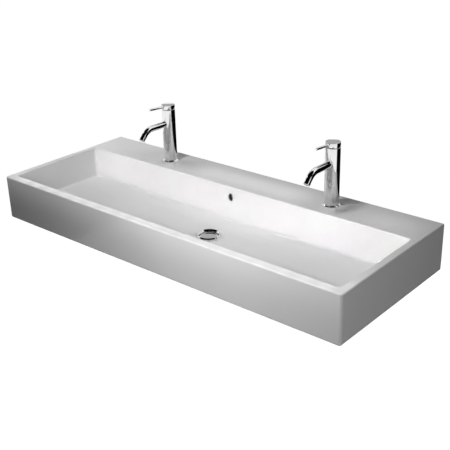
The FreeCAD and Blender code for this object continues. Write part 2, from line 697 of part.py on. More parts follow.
class Tap:
    """One single-lever mixer on the deck; side is left or right."""

    def __init__(self, side):
        self.side = side
        self.sign = "-" if side == "left" else ""
        self.body()
        self.base()
        self.spout()
        self.aerator()
        self.cartridge()
        self.spindle()
        self.handle()
        self.fixing()

    def spot(self, level="0", right="0", back="0"):
        """Place from the tap's axis on the deck."""
        return (f"{self.sign}tap_spacing / 2 + ({right})", f"-tap_from_wall + ({back})",
                f"rim_above_bolts + ({level})")

    def name(self, piece):
        """Name of a piece on this side."""
        return f"{self.side}_{piece}"

    def lathe(self, piece, profile, rounds=None):
        """Turned piece on the tap's axis."""
        return turned(self.name(piece), profile, self.spot(), rounds=rounds)

    def bar(self, piece, radius, low, high, right="0", back="0"):
        """Upright round bar between two levels."""
        return cylinder(self.name(piece), radius, f"({high}) - ({low})", self.spot(low, right, back))

    def leaning(self, item, level, angle):
        """Lean an object's own Z from upright towards the front by an angle."""
        place(item, self.spot(level), TO_FRONT)
        bind(item, "Placement.Rotation.Angle", angle)
        return item

    def ring(self, piece, inner, outer, low, high):
        """Flat ring on the tap's axis."""
        return ring(self.name(piece), inner, outer, low, high, self.spot())

    def drilled(self, piece, blank, tools):
        """Finished piece: a blank less its holes."""
        tool = fused(self.name(piece + "_holes"), tools) if len(tools) > 1 else tools[0]
        return named(cut(self.name(piece), blank, tool), self.name(piece))

    def body(self):
        """Column with the cartridge bore, the waterways, the spout socket and the stud hole."""
        bore = "cartridge_radius + cartridge_gap"
        blank = self.lathe("body_blank", [
            ("0", "-spigot_depth"), ("spigot_radius", "-spigot_depth"),
            ("spigot_radius", "base_ring_height"), ("body_radius", "base_ring_height"),
            ("body_radius", BODY_TOP), (bore, BODY_TOP), (bore, "cartridge_seat"), ("0", "cartridge_seat"),
        ], rounds={3: "edge_round", 4: "edge_round"})
        below = "-spigot_depth - cut_overrun"
        above = "cartridge_seat + cut_overrun"
        mouth_end = "inlet_mouth_depth - spigot_depth"
        thread_end = f"{mouth_end} + inlet_thread_depth"
        tools = []
        for hand, sign in (("hot", "-"), ("cold", "")):
            where = (f"{sign}inlet_apart / 2", "-inlet_forward")
            tools.append(self.bar(hand + "_bore", "inlet_bore_radius", below, above, *where))
            tools.append(self.bar(hand + "_thread", "inlet_thread_radius", below, thread_end, *where))
            tools.append(self.bar(hand + "_mouth", "inlet_mouth_radius", below, mouth_end, *where))
        stud_end = "stud_engagement - spigot_depth"
        tools.append(self.bar("stud_hole", "stud_radius + thread_gap", below, stud_end, back="stud_back"))
        outlet_back = "-outlet_forward"
        tools.append(self.bar("outlet_bore", "outlet_bore_radius", "spout_height", above, back=outlet_back))
        tools.append(cylinder(self.name("waterway"), "waterway_radius", "spout_root + cut_overrun",
                              self.spot("spout_height"), TO_FRONT))
        tools.append(cylinder(self.name("spout_socket"), "spout_radius + thread_gap",
                              "body_radius - spout_root + cut_overrun",
                              self.spot("spout_height", back="-spout_root"), TO_FRONT))
        self.drilled("tap_body", blank, tools)

    def base(self):
        """Trim ring between the body and the deck, with its seal let into its underside."""
        step = "base_seal_radius + fit_gap"
        inner = "spigot_radius + fit_gap"
        trim = self.lathe("base_ring", [
            (inner, "base_seal_thickness"), (step, "base_seal_thickness"), (step, "0"),
            ("base_ring_radius", "0"), ("base_ring_radius", "base_ring_height"), (inner, "base_ring_height"),
        ], rounds={4: "base_ring_round"})
        named(trim, self.name("base_ring"))
        self.ring("base_seal", "tap_hole_radius + fit_gap", "base_seal_radius", "0", "base_seal_thickness")

    def spout(self):
        """Bent tube, swept along a straight run, an arc and a straight nose."""
        label = self.name("spout")
        tube = doc.addObject("PartDesign::Body", label)
        route = self.spout_route(tube)
        section = tube.newObject("Sketcher::SketchObject", label + "_section")
        section.AttachmentSupport = [(origin_plane(tube, "YZ_Plane"), "")]
        section.MapMode = "FlatFace"
        bind(section, "AttachmentOffset.Base.y", "spout_height")
        bind(section, "AttachmentOffset.Base.z", "spout_root")
        for radius in ("spout_radius", SPOUT_BORE):
            index = section.addGeometry(Part.Circle(Vector(), UP, size("spout_radius")), False)
            section.addConstraint(Sketcher.Constraint("Coincident", index, 3, -1, 1))
            number = section.addConstraint(Sketcher.Constraint("Radius", index, size("spout_radius")))
            bind(section, f"Constraints[{number}]", radius)
        pipe = tube.newObject("PartDesign::AdditivePipe", label + "_pipe")
        pipe.Profile = section
        pipe.Spine = (route, ["Edge1", "Edge2", "Edge3"])
        place(tube, self.spot(), FACING_FRONT)
        named(tube, label)

    def spout_route(self, tube):
        """Centre line of the spout: a level run, an arc down and the nose."""
        route = tube.newObject("Sketcher::SketchObject", self.name("spout_route"))
        route.AttachmentSupport = [(origin_plane(tube, "XZ_Plane"), "")]
        route.MapMode = "FlatFace"
        run, height, bend = size("spout_run"), size("spout_height"), size("spout_bend_radius")
        angle = math.radians(size("spout_bend_angle"))
        start = Vector(size("spout_root"), height, 0)
        corner = Vector(run, height, 0)
        centre = corner - Vector(0, bend, 0)
        end = centre + bend * Vector(math.sin(angle), math.cos(angle), 0)
        tip = end + size("spout_nose") * Vector(math.cos(angle), -math.sin(angle), 0)
        circle = Part.Circle(centre, UP, bend)
        route.addGeometry(Part.LineSegment(start, corner), False)
        route.addGeometry(Part.ArcOfCircle(circle, math.pi / 2 - angle, math.pi / 2), False)
        route.addGeometry(Part.LineSegment(end, tip), False)
        route.addConstraint(Sketcher.Constraint("Tangent", 0, 2, 1, 2))
        route.addConstraint(Sketcher.Constraint("Tangent", 1, 1, 2, 1))
        route.addConstraint(Sketcher.Constraint("Horizontal", 0))
        for kind, where, value, formula in (
            ("DistanceX", (0, 1), start.x, "spout_root"),
            ("DistanceY", (0, 1), start.y, "spout_height"),
            ("DistanceX", (0, 2), corner.x, "spout_run"),
            ("Radius", (1,), bend, "spout_bend_radius"),
            ("DistanceX", (2, 2), tip.x, OUTLET_FORWARD),
            ("DistanceY", (2, 2), tip.y, OUTLET_HEIGHT),
        ):
            number = route.addConstraint(Sketcher.Constraint(kind, *where, value))
            bind(route, f"Constraints[{number}]", formula)
        return route

    def at_outlet(self, item):
        """Put an object on the spout's outlet with its own Z along the jet."""
        place(item, self.spot(OUTLET_HEIGHT, back=f"-{OUTLET_FORWARD}"), TO_FRONT)
        bind(item, "Placement.Rotation.Angle", "90 + spout_bend_angle")
        return item

    def aerator(self):
        """Shell with a lip in the spout's mouth, its holed insert and the seal above."""
        outer = f"{SPOUT_BORE} - fit_gap"
        inner = f"{outer} - aerator_wall"
        lip = f"{inner} - aerator_wall"
        shell = self.lathe("aerator_shell", [
            (lip, "-aerator_wall"), (lip, "0"), (outer, "0"), (outer, "-aerator_length"),
            (inner, "-aerator_length"), (inner, "-aerator_wall"),
        ])
        named(self.at_outlet(shell), self.name("aerator_shell"))
        low = "-aerator_wall - aerator_insert_height"
        disc = self.lathe("aerator_insert", [
            ("0", low), (f"{inner} - fit_gap", low),
            (f"{inner} - fit_gap", "-aerator_wall"), ("0", "-aerator_wall"),
        ])
        self.aerator_holes(disc)
        named(self.at_outlet(disc), self.name("aerator_insert"))
        seal_low = "-aerator_length - aerator_seal_thickness"
        seal = self.lathe("aerator_seal", [
            (inner, seal_low), (outer, seal_low), (outer, "-aerator_length"), (inner, "-aerator_length"),
        ])
        named(self.at_outlet(seal), self.name("aerator_seal"))

    def aerator_holes(self, disc):
        """Ring of holes through the insert."""
        sketch = disc.newObject("Sketcher::SketchObject", self.name("aerator_hole"))
        sketch.AttachmentSupport = [(origin_plane(disc, "XY_Plane"), "")]
        sketch.MapMode = "FlatFace"
        circle = size("aerator_hole_circle")
        sketch.addGeometry(Part.Circle(Vector(circle, 0, 0), UP, size("aerator_hole_radius")), False)
        for kind, where, alias in (("DistanceX", (0, 3), "aerator_hole_circle"),
                                   ("Radius", (0,), "aerator_hole_radius")):
            number = sketch.addConstraint(Sketcher.Constraint(kind, *where, size(alias)))
            bind(sketch, f"Constraints[{number}]", alias)
        sketch.addConstraint(Sketcher.Constraint("PointOnObject", 0, 3, -1))
        hole = disc.newObject("PartDesign::Pocket", self.name("aerator_hole_cut"))
        hole.Profile = sketch
        hole.Type = "ThroughAll"
        hole.Midplane = True
        doc.recompute()
        pattern(disc, hole, (sketch, ["N_Axis"]), AERATOR_HOLES)

    def cartridge(self):
        """Cartridge stacked on its seat, and the nut that holds it down."""
        self.ring("cartridge_seal", "cartridge_radius - cartridge_seal_width", "cartridge_radius",
                  "cartridge_seat", BASE_LEVEL)
        for piece, radius, low, high in (("cartridge_base", "cartridge_radius", BASE_LEVEL, DISC_LEVEL),
                                         ("fixed_disc", "disc_radius", DISC_LEVEL, MOVING_LEVEL)):
            blank = self.bar(piece + "_blank", radius, low, high)
            ports = (("-inlet_apart / 2", "-inlet_forward"), ("inlet_apart / 2", "-inlet_forward"),
                     ("0", "-outlet_forward"))
            tools = [self.bar(f"{piece}_port_{number}", "port_radius", low, high, *where)
                     for number, where in enumerate(ports)]
            self.drilled(piece, blank, tools)
        pocket = "spindle_ball_radius + fit_gap"
        moving_top = f"{MOVING_LEVEL} + moving_disc_height"
        floor = f"{BALL} - spindle_ball_radius - turret_play"
        slide = f"{MOVING_LEVEL} + running_gap"
        named(self.lathe("moving_disc", [
            ("0", slide), ("moving_disc_radius", slide), ("moving_disc_radius", moving_top),
            (pocket, moving_top), (pocket, floor), ("0", floor),
        ]), self.name("moving_disc"))
        wall = "disc_radius + cartridge_gap"
        neck = "turret_neck_radius + cartridge_gap"
        named(self.lathe("cartridge_housing", [
            (wall, DISC_LEVEL), ("cartridge_radius", DISC_LEVEL), ("cartridge_radius", HOUSING_TOP),
            (neck, HOUSING_TOP), (neck, LIP_LEVEL), (wall, LIP_LEVEL),
        ]), self.name("cartridge_housing"))
        self.ring("cartridge_nut", "nut_bore_radius", "cartridge_radius + cartridge_gap - thread_gap",
                  HOUSING_TOP, f"{HOUSING_TOP} + nut_height")

    def spindle(self):
        """Turret that turns in the housing, the stem that tips in its slot, and the pin between them."""
        blank = self.lathe("turret_blank", [
            ("0", TURRET_LEVEL), ("turret_radius", TURRET_LEVEL), ("turret_radius", SHOULDER),
            ("turret_neck_radius", SHOULDER), ("turret_neck_radius", NECK_TOP), ("0", NECK_TOP),
        ])
        side = "(spindle_radius + spindle_slot_gap)"
        lean = f"({NECK_TOP} - {PIVOT}) * tan(lift_angle)"
        swing = f"(spindle_radius / cos(lift_angle) + {lean} + spindle_slot_gap)"
        low = self.spot(f"{TURRET_LEVEL} - cut_overrun", f"-{side}", f"-{swing}")
        high = self.spot(f"{NECK_TOP} + cut_overrun", side, swing)
        slot = block(self.name("turret_slot"), low, high)
        self.drilled("turret", blank, [slot, self.cross_bar("turret_pin_hole", "pivot_radius + thread_gap")])
        named(self.cross_bar("pivot_pin", "pivot_radius"), self.name("pivot_pin"))
        shoulder = f"{PIVOT} - 2 * pivot_radius"
        taper = f"{shoulder} + spindle_neck_radius - spindle_radius"
        top = f"{SOCKET_ROOF} - fit_gap"
        stem = self.lathe("lever_stem_blank", [
            ("0", BALL), ("spindle_neck_radius", BALL), ("spindle_neck_radius", taper),
            ("spindle_radius", shoulder), ("spindle_radius", top), ("0", top),
        ])
        ball_size = {"Radius": "spindle_ball_radius"}
        ball = primitive("Part::Sphere", self.name("stem_ball"), ball_size, self.spot(BALL))
        whole = fused(self.name("lever_stem_whole"), [stem, ball])
        self.drilled("lever_stem", whole, [self.cross_bar("stem_pin_hole", "pivot_radius + running_gap")])

    def cross_bar(self, piece, radius):
        """Round bar along the pivot's axis, as long as the pivot pin."""
        spot = self.spot(PIVOT, "-pivot_half_length")
        return cylinder(self.name(piece), radius, "2 * pivot_half_length", spot, TO_RIGHT)

    def handle(self):
        """Cap with its hub and tilt bevel, the pin lever screwed into it and the grub screw behind."""
        socket = "spindle_radius + thread_gap"
        rim = "body_radius - cap_wall"
        recess = f"{CAP_BASE} + cap_recess"
        blank = self.lathe("cap_blank", [
            (socket, CAP_BASE), ("cap_hub_radius", CAP_BASE), ("cap_hub_radius", recess), (rim, recess),
            (rim, CAP_BASE), ("body_radius", CAP_BASE), ("body_radius", "tap_height"), ("0", "tap_height"),
            ("0", SOCKET_ROOF), (socket, SOCKET_ROOF),
        ], rounds={5: "edge_round", 6: "cap_round"})
        bevel = primitive("Part::Box", self.name("cap_bevel"), {
            "Length": "2 * base_ring_radius", "Width": "2 * base_ring_radius", "Height": "cap_height",
        })
        place(bevel, self.spot(f"{CAP_BASE} - cap_height * cos(lift_angle)", "-base_ring_radius",
                               "cap_height * sin(lift_angle)"), Rotation(RIGHT, 90))
        bind(bevel, "Placement.Rotation.Angle", "lift_angle")
        rise = "90 - lever_rise_angle"
        tapped = cylinder(self.name("cap_thread"), "lever_thread_radius + thread_gap", LEVER_SHOULDER)
        mouth = self.lathe("cap_mouth", [
            ("0", LEVER_SHOULDER), ("lever_radius + thread_gap", LEVER_SHOULDER),
            ("lever_radius + thread_gap", "base_ring_radius"), ("0", "base_ring_radius"),
        ])
        tools = [bevel, self.leaning(tapped, LEVER_LEVEL, rise), self.leaning(mouth, LEVER_LEVEL, rise)]
        self.drilled("handle_cap", blank, tools)
        thread_end = f"{LEVER_SHOULDER} - lever_thread_length"
        lever = self.lathe("pin_lever", [
            ("0", thread_end), ("lever_thread_radius", thread_end), ("lever_thread_radius", LEVER_SHOULDER),
            ("lever_radius", LEVER_SHOULDER), ("lever_radius", "lever_reach"), ("0", "lever_reach"),
        ], rounds={4: "lever_tip_round"})
        named(self.leaning(lever, LEVER_LEVEL, rise), self.name("pin_lever"))
        low = "spindle_radius + grub_gap"
        grub = self.lathe("grub_screw", [
            ("0", low), ("lever_thread_radius", low), ("lever_thread_radius", f"{low} + grub_length"),
            ("0", f"{low} + grub_length"),
        ])
        named(self.leaning(grub, LEVER_LEVEL, rise), self.name("grub_screw"))

    def horseshoe(self, piece, low, high):
        """Clamp plate with a slot for the supply hoses and a hole for the stud."""
        blank = self.bar(piece + "_blank", "clamp_radius", low, high)
        front = self.spot(low, "-clamp_slot_half_width", "-clamp_radius - cut_overrun")
        back = self.spot(high, "clamp_slot_half_width", "clamp_slot_back")
        slot = block(self.name(piece + "_slot"), front, back)
        hole = self.bar(piece + "_hole", "stud_radius + fit_gap", low, high, back="stud_back")
        self.drilled(piece, blank, [slot, hole])

    def fixing(self):
        """Stud, horseshoe seal and plate, and the nut that pulls the tap down on the deck."""
        top = "(stud_engagement - spigot_depth)"
        stud = self.bar("fixing_stud", "stud_radius", f"{top} - stud_length", top, back="stud_back")
        named(stud, self.name("fixing_stud"))
        self.horseshoe("clamp_seal", PLATE_TOP, CLAMP_TOP)
        self.horseshoe("clamp_plate", PLATE_BASE, PLATE_TOP)
        spot = self.spot(f"{PLATE_BASE} - fixing_nut_height", back="stud_back")
        nut = hexagon(self.name("fixing_nut_blank"), "fixing_nut_radius", "fixing_nut_height", spot)
        bore = cylinder(self.name("fixing_nut_bore"), "stud_radius + thread_gap", "fixing_nut_height", spot)
        named(cut(self.name("fixing_nut"), nut, bore), self.name("fixing_nut"))


def save():
    """Check every object of the document, then write one file for each sub-part."""
    doc.recompute()
    broken = [item.Label for item in doc.Objects if "Invalid" in item.State or "Error" in item.State]
    for item in pieces:
        if item.Shape.isNull() or not item.Shape.isValid() or not item.Shape.Solids:
            broken.append(item.Label)
    if broken:
        raise RuntimeError(f"These objects did not build: {broken}")
    os.makedirs("parts", exist_ok=True)
    for item in pieces:
        item.Shape.exportStep(f"parts/{item.Label}.step")


casting()
waste()
for side in ("left", "right"):
    Tap(side)
save()
print(f"{len(pieces)} sub-parts written")
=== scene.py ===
"""Wall-hung ceramic basin with pin-lever taps: its looks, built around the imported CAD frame.

Sizes in the classes are in millimetres and Blender's own are in metres.
+X is right, -Y the front and +Z up; the wall is at y = 0, and the rim at z = 75 mm.
"""

from __future__ import annotations

import json
import logging
import math
from dataclasses import dataclass, field
from enum import Enum
from typing import Any, Callable, Sequence

import bmesh
import bpy
from mathutils import Matrix, Vector

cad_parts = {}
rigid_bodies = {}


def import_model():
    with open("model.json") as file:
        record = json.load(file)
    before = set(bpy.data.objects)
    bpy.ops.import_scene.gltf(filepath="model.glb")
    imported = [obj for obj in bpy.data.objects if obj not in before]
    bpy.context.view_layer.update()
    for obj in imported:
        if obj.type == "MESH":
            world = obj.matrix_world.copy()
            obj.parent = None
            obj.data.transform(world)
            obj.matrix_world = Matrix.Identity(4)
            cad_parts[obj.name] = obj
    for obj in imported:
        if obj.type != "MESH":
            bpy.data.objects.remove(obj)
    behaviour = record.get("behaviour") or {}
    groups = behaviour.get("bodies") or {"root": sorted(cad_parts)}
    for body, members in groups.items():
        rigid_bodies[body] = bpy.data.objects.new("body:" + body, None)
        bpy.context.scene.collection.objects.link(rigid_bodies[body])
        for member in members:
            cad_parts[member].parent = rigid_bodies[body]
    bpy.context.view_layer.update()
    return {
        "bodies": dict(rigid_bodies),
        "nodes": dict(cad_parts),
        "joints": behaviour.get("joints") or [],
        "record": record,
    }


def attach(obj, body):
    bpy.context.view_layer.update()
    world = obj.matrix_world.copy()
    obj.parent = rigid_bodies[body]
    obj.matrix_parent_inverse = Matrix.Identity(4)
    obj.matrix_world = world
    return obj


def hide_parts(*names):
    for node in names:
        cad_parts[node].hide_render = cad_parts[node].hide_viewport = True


LOG = logging.getLogger("basin")
MM = 0.001
RIM_MM = 75.0
WASTE_FROM_WALL_MM = 230.0
SMOOTH_ANGLE = math.radians(32.0)
ROUND_THE_AXIS = (0.05, 0.05, 1.0)
LEVEL_ONLY = (1.0, 1.0, 0.0)
WHITE = (1.0, 1.0, 1.0, 1.0)
TINY = 1e-6
NOISE_MIDDLE = {"From Min": 0.3, "From Max": 0.7}
TONE_DETAIL = 3.0
RELIEF_DETAIL = 2.0
# Sockets for colours on a Mix node
MIX_LOW = 6
MIX_HIGH = 7
MIX_RESULT = 2
# Steps of turned and bent pieces
FINE_TURN = 128
TURN = 96
SMALL_TURN = 64
COARSE_TURN = 48
HEX_SIDES = 6
RIDGE_CORNERS = 4
BEND_STEPS = 28
ROUND_STEPS = 6
TUBE_CORNERS = ("Root", "Bend", "Mouth")
# Short names for types
Point = tuple[float, float]
Spot = tuple[float, float, float]
Piece = bpy.types.Object
Material = bpy.types.Material
Tree = bpy.types.NodeTree
Node = bpy.types.Node
Socket = bpy.types.NodeSocket
Sockets = dict[str, Socket]
Inputs = dict[str | int, Any]
Patch = tuple[Socket, str, float]


class Slot(Enum):
    """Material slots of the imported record."""

    GLAZE = "glaze"
    CHROME = "chrome"
    BRASS = "brass"
    STEEL = "steel"
    RUBBER = "rubber"
    PLASTIC = "plastic"
    DISC = "disc_ceramic"


class Side(Enum):
    """The two taps, by the sign of their place along the deck."""

    LEFT = -1
    RIGHT = 1

    def node(self, piece: str) -> str:
        """Name of a CAD node or body on this side."""
        return f"{self.name.lower()}_{piece}"


def linear(hex_colour: str) -> tuple[float, float, float, float]:
    """Turn an sRGB hex colour into linear light.

    Args:
        hex_colour: Six hex digits after a hash.

    Returns:
        Red, green, blue and an alpha of one.
    """
    shares = [int(hex_colour[start:start + 2], 16) / 255 for start in (1, 3, 5)]
    red, green, blue = (s / 12.92 if s <= 0.04045 else ((s + 0.055) / 1.055) ** 2.4 for s in shares)
    return red, green, blue, 1.0


def add_node(tree: Tree, kind: str, inputs: Inputs | None = None, **settings: Any) -> Node:
    """Add one node with its settings, values and links.

    Args:
        tree: Tree that gets the node.
        kind: Type name of the node.
        inputs: Value, or socket to link from, for each input by name or number.
        settings: Attributes of the node.

    Returns:
        The new node.
    """
    node = tree.nodes.new(kind)
    for name, value in settings.items():
        setattr(node, name, value)
    for key, value in (inputs or {}).items():
        if isinstance(value, Socket):
            tree.links.new(value, node.inputs[key])
        else:
            node.inputs[key].default_value = value
    return node


@dataclass(frozen=True)
class Finish:
    """One finish: its colours, its gloss and the two scales of detail on its surface.

    The tone drifts between shade and colour over tone_mm. The relief has features of relief_mm that
    are relief_depth_mm deep, and it moves the roughness by gloss_change either way. A stretch below
    one draws the relief out along that axis.
    """

    name: str
    colour: str
    shade: str
    roughness: float
    gloss_change: float
    tone_mm: float
    relief_mm: float
    relief_depth_mm: float
    metallic: float = 0.0
    stretch: Spot = (1.0, 1.0, 1.0)

    def material(self) -> Material:
        """Make the node material.

        Returns:
            Material whose tone, gloss and relief follow Object coordinates.
        """
        material = bpy.data.materials.new(self.name)
        material.use_nodes = True
        tree = material.node_tree
        shader = tree.nodes["Principled BSDF"]
        shader.inputs["Metallic"].default_value = self.metallic
        where = add_node(tree, "ShaderNodeTexCoord").outputs["Object"]
        drift = {"Vector": where, "Scale": 1 / (self.tone_mm * MM), "Detail": TONE_DETAIL}
        slow = add_node(tree, "ShaderNodeTexNoise", drift).outputs["Fac"]
        lie = add_node(tree, "ShaderNodeMapping", {"Vector": where, "Scale": self.stretch}).outputs["Vector"]
        grain = {"Vector": lie, "Scale": 1 / (self.relief_mm * MM), "Detail": RELIEF_DETAIL}
        fine = add_node(tree, "ShaderNodeTexNoise", grain).outputs["Fac"]
        share = add_node(tree, "ShaderNodeMapRange", {"Value": slow, **NOISE_MIDDLE}).outputs["Result"]
        pair = {"Factor": share, MIX_LOW: linear(self.shade), MIX_HIGH: linear(self.colour)}
        tone = add_node(tree, "ShaderNodeMix", pair, data_type="RGBA").outputs[MIX_RESULT]
        span = {"To Min": self.roughness - self.gloss_change, "To Max": self.roughness + self.gloss_change}
        span |= {"Value": fine, **NOISE_MIDDLE}
        gloss = add_node(tree, "ShaderNodeMapRange", span).outputs["Result"]
        for share, colour, roughness in self.bared(tree, where):
            pair = {"Factor": share, MIX_LOW: tone, MIX_HIGH: linear(colour)}
            tone = add_node(tree, "ShaderNodeMix", pair, data_type="RGBA").outputs[MIX_RESULT]
            span = {"Value": share, "To Min": gloss, "To Max": roughness}
            gloss = add_node(tree, "ShaderNodeMapRange", span).outputs["Result"]
        tree.links.new(tone, shader.inputs["Base Color"])
        tree.links.new(gloss, shader.inputs["Roughness"])
        if self.relief_depth_mm:
            height = {"Height": fine, "Strength": 1.0, "Distance": self.relief_depth_mm * MM}
            relief = add_node(tree, "ShaderNodeBump", height).outputs["Normal"]
            tree.links.new(relief, shader.inputs["Normal"])
        return material

    def bared(self, tree: Tree, where: Socket) -> list[Patch]:
        """List the places where another surface shows; a plain finish has none."""
        return []


@dataclass(frozen=True)
class GlazedChina(Finish):
    """Glaze over white china, stopping at the ground back and in the overflow, whose bare body holds painted
    shade.
    """

    bisque: str = "#DCD8CF"
    bisque_roughness: float = 0.85
    ground_from_mm: float = -0.4
    # Dark grey inside the overflow: painted shade for the hole's depth, over the bare matt body
    overflow_painted_shade: str = "#64625E"
    overflow_mm: Spot = (0.0, -110.0, RIM_MM - 32.0)
    overflow_half_mm: Spot = (10.0, 19.0, 14.0)

    def bared(self, tree: Tree, where: Socket) -> list[Patch]:
        """Find the chalky ground back, and the bare body inside the overflow with its painted shade.

        Args:
            tree: Tree of the material.
            where: Object coordinates.

        Returns:
            Share, colour and roughness of each place.
        """
        deep = add_node(tree, "ShaderNodeSeparateXYZ", {"Vector": where}).outputs["Y"]
        limit = {0: deep, 1: self.ground_from_mm * MM}
        ground = add_node(tree, "ShaderNodeMath", limit, operation="GREATER_THAN").outputs[0]
        spot, reach = (tuple(Vector(size) * MM) for size in (self.overflow_mm, self.overflow_half_mm))
        share = where
        for operation, by in (("SUBTRACT", {1: spot}), ("DIVIDE", {1: reach}), ("ABSOLUTE", {})):
            step = add_node(tree, "ShaderNodeVectorMath", {0: share, **by}, operation=operation)
            share = step.outputs["Vector"]
        axes = add_node(tree, "ShaderNodeSeparateXYZ", {"Vector": share}).outputs
        most = axes["X"]
        for axis in (axes["Y"], axes["Z"]):
            most = add_node(tree, "ShaderNodeMath", {0: most, 1: axis}, operation="MAXIMUM").outputs[0]
        # Inside this box the bare body gets the painted shade
        inside = add_node(tree, "ShaderNodeMath", {0: most, 1: 1.0}, operation="LESS_THAN").outputs[0]
        rough = self.bisque_roughness
        return [(ground, self.bisque, rough), (inside, self.overflow_painted_shade, rough)]


@dataclass(frozen=True)
class BrushedLid(Finish):
    """Chrome of the plug's lid, brushed inside a polished border, with painted shade greying the brushed
    face.
    """

    # Grey of the brushed face: painted shade for the dim reflection in the lid's top
    brushed: str = "#BEBEBE"
    brushed_roughness: float = 0.12
    axis_mm: Spot = (0.0, -WASTE_FROM_WALL_MM, 0.0)
    brushed_radius_mm: float = 23.0

    def bared(self, tree: Tree, where: Socket) -> list[Patch]:
        """Find the brushed face inside the border, which takes the painted shade.

        Args:
            tree: Tree of the material.
            where: Object coordinates.

        Returns:
            Share, colour and roughness of the face.
        """
        off = where
        for operation, by in (("SUBTRACT", tuple(Vector(self.axis_mm) * MM)), ("MULTIPLY", LEVEL_ONLY)):
            step = add_node(tree, "ShaderNodeVectorMath", {0: off, 1: by}, operation=operation)
            off = step.outputs["Vector"]
        far = add_node(tree, "ShaderNodeVectorMath", {0: off}, operation="LENGTH").outputs["Value"]
        limit = {0: far, 1: self.brushed_radius_mm * MM}
        inside = add_node(tree, "ShaderNodeMath", limit, operation="LESS_THAN").outputs[0]
        return [(inside, self.brushed, self.brushed_roughness)]


FINISHES: dict[Slot, Finish] = {
    # Fired glaze on vitreous china: an even deep gloss with a slow ripple in it
    Slot.GLAZE: GlazedChina("glazed_vitreous_china", "#F1F1F1", "#EDEDED", 0.06, 0.015, 240, 34, 0.012),
    # Chrome plate on polished brass: a mirror with the faint haze that wiping leaves
    Slot.CHROME: Finish("polished_chrome_plate", "#EEEEEE", "#E4E4E4", 0.04, 0.015, 60, 14, 0, 1),
    # Brass off the lathe: warm and satin, with rings round the axis drawn coarse enough to show
    Slot.BRASS: Finish("turned_brass", "#CFA862", "#A8843F", 0.31, 0.09, 9, 0.9, 0.01, 1, ROUND_THE_AXIS),
    # Zinc plate on rolled steel: cool and satin, with the same rings, drawn coarse enough to show
    Slot.STEEL: Finish(
        "zinc_plated_steel", "#B4B6B8", "#8E9196", 0.35, 0.09, 9, 0.9, 0.01, 1, ROUND_THE_AXIS,
    ),
    # Moulded rubber: near black and matt, with the mould's fine grain
    Slot.RUBBER: Finish("moulded_epdm_rubber", "#232323", "#191919", 0.62, 0.06, 12, 0.7, 0.012),
    # Moulded acetal: milky and half matt, with a faint mottle
    Slot.PLASTIC: Finish("moulded_acetal", "#E4E2DA", "#D8D5CB", 0.42, 0.06, 12, 0.7, 0.012),
    # Lapped alumina: cream and close-grained, almost polished
    Slot.DISC: Finish("lapped_alumina", "#F0ECE3", "#E6E1D6", 0.24, 0.06, 12, 0.5, 0.004),
}
# Brushed chrome inside a polished border: a face greyed by painted shade, with a bright edge
LID = BrushedLid("brushed_chrome_plate", "#EEEEEE", "#E4E4E4", 0.04, 0.015, 60, 14, 0, 1)


@dataclass
class Workshop:
    """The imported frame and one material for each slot."""

    frame: dict[str, Any]
    materials: dict[Slot, Material] = field(default_factory=dict)

    def __post_init__(self) -> None:
        """Make the materials and put them on every CAD node."""
        self.materials = {slot: finish.material() for slot, finish in FINISHES.items()}
        for part in self.frame["record"]["subparts"]:
            mesh = self.frame["nodes"][part["node"]].data
            mesh.materials.clear()
            mesh.materials.append(self.materials[Slot(part["material_slot"])])

    def set_up(self, piece: Piece, body: str, slot: Slot, *nodes: str) -> Piece:
        """Dress a finished piece, ride it on its body and let it stand for CAD nodes.

        Args:
            piece: Mesh object at the origin.
            body: CAD body that carries it.
            slot: Material slot.
            nodes: CAD nodes that it replaces.

        Returns:
            The same piece.
        """
        piece.data.materials.clear()
        piece.data.materials.append(self.materials[slot])
        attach(piece, body)
        if nodes:
            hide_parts(*nodes)
        LOG.info("%s: %d faces on %s", piece.name, len(piece.data.polygons), body)
        return piece


def add_object(name: str, data: bpy.types.ID) -> Piece:
    """Put a mesh, a light or a camera in the scene.

    Args:
        name: Name of the object.
        data: What it holds.

    Returns:
        The new object.
    """
    piece = bpy.data.objects.new(name, data)
    bpy.context.scene.collection.objects.link(piece)
    return piece


def smoothed(piece: Piece) -> Piece:
    """Shade a piece smooth, and leave its sharper edges sharp.

    Args:
        piece: Piece to shade.

    Returns:
        The same piece.
    """
    piece.data.shade_smooth()
    piece.data.set_sharp_from_angle(angle=SMOOTH_ANGLE)
    return piece


def finished(work: bmesh.types.BMesh, name: str, place: Matrix = Matrix()) -> Piece:
    """Turn loose work into a smooth piece.

    Args:
        work: The work, which is freed.
        name: Name of the piece.
        place: Where it goes.

    Returns:
        The new piece.
    """
    mesh = bpy.data.meshes.new(name)
    work.to_mesh(mesh)
    work.free()
    mesh.transform(place)
    return smoothed(add_object(name, mesh))


def sheet(name: str, size: Point, place: Matrix) -> Piece:
    """Flat four-cornered sheet.

    Args:
        name: Name of the object.
        size: Its two sides in metres.
        place: Frame of its middle.

    Returns:
        The sheet.
    """
    work = bmesh.new()
    bmesh.ops.create_grid(work, x_segments=1, y_segments=1, size=0.5)
    return finished(work, name, place @ Matrix.Diagonal((*size, 1.0, 1.0)))


def applied(piece: Piece) -> Piece:
    """Turn a piece's modifiers into plain mesh.

    Args:
        piece: Object with live modifiers.

    Returns:
        The same object, with its final mesh and no modifier.
    """
    bpy.context.view_layer.update()
    graph = bpy.context.evaluated_depsgraph_get()
    mesh = bpy.data.meshes.new_from_object(piece.evaluated_get(graph), depsgraph=graph)
    piece.modifiers.clear()
    piece.data = mesh
    mesh.name = piece.name
    return piece


def thickened(skin: Piece, wall: float) -> Piece:
    """Give a skin a wall on its inner side.

    Args:
        skin: Open mesh.
        wall: Thickness in millimetres.

    Returns:
        The same piece.
    """
    inward = skin.modifiers.new("wall", "SOLIDIFY")
    inward.thickness = wall * MM
    inward.offset = -1.0
    return applied(skin)


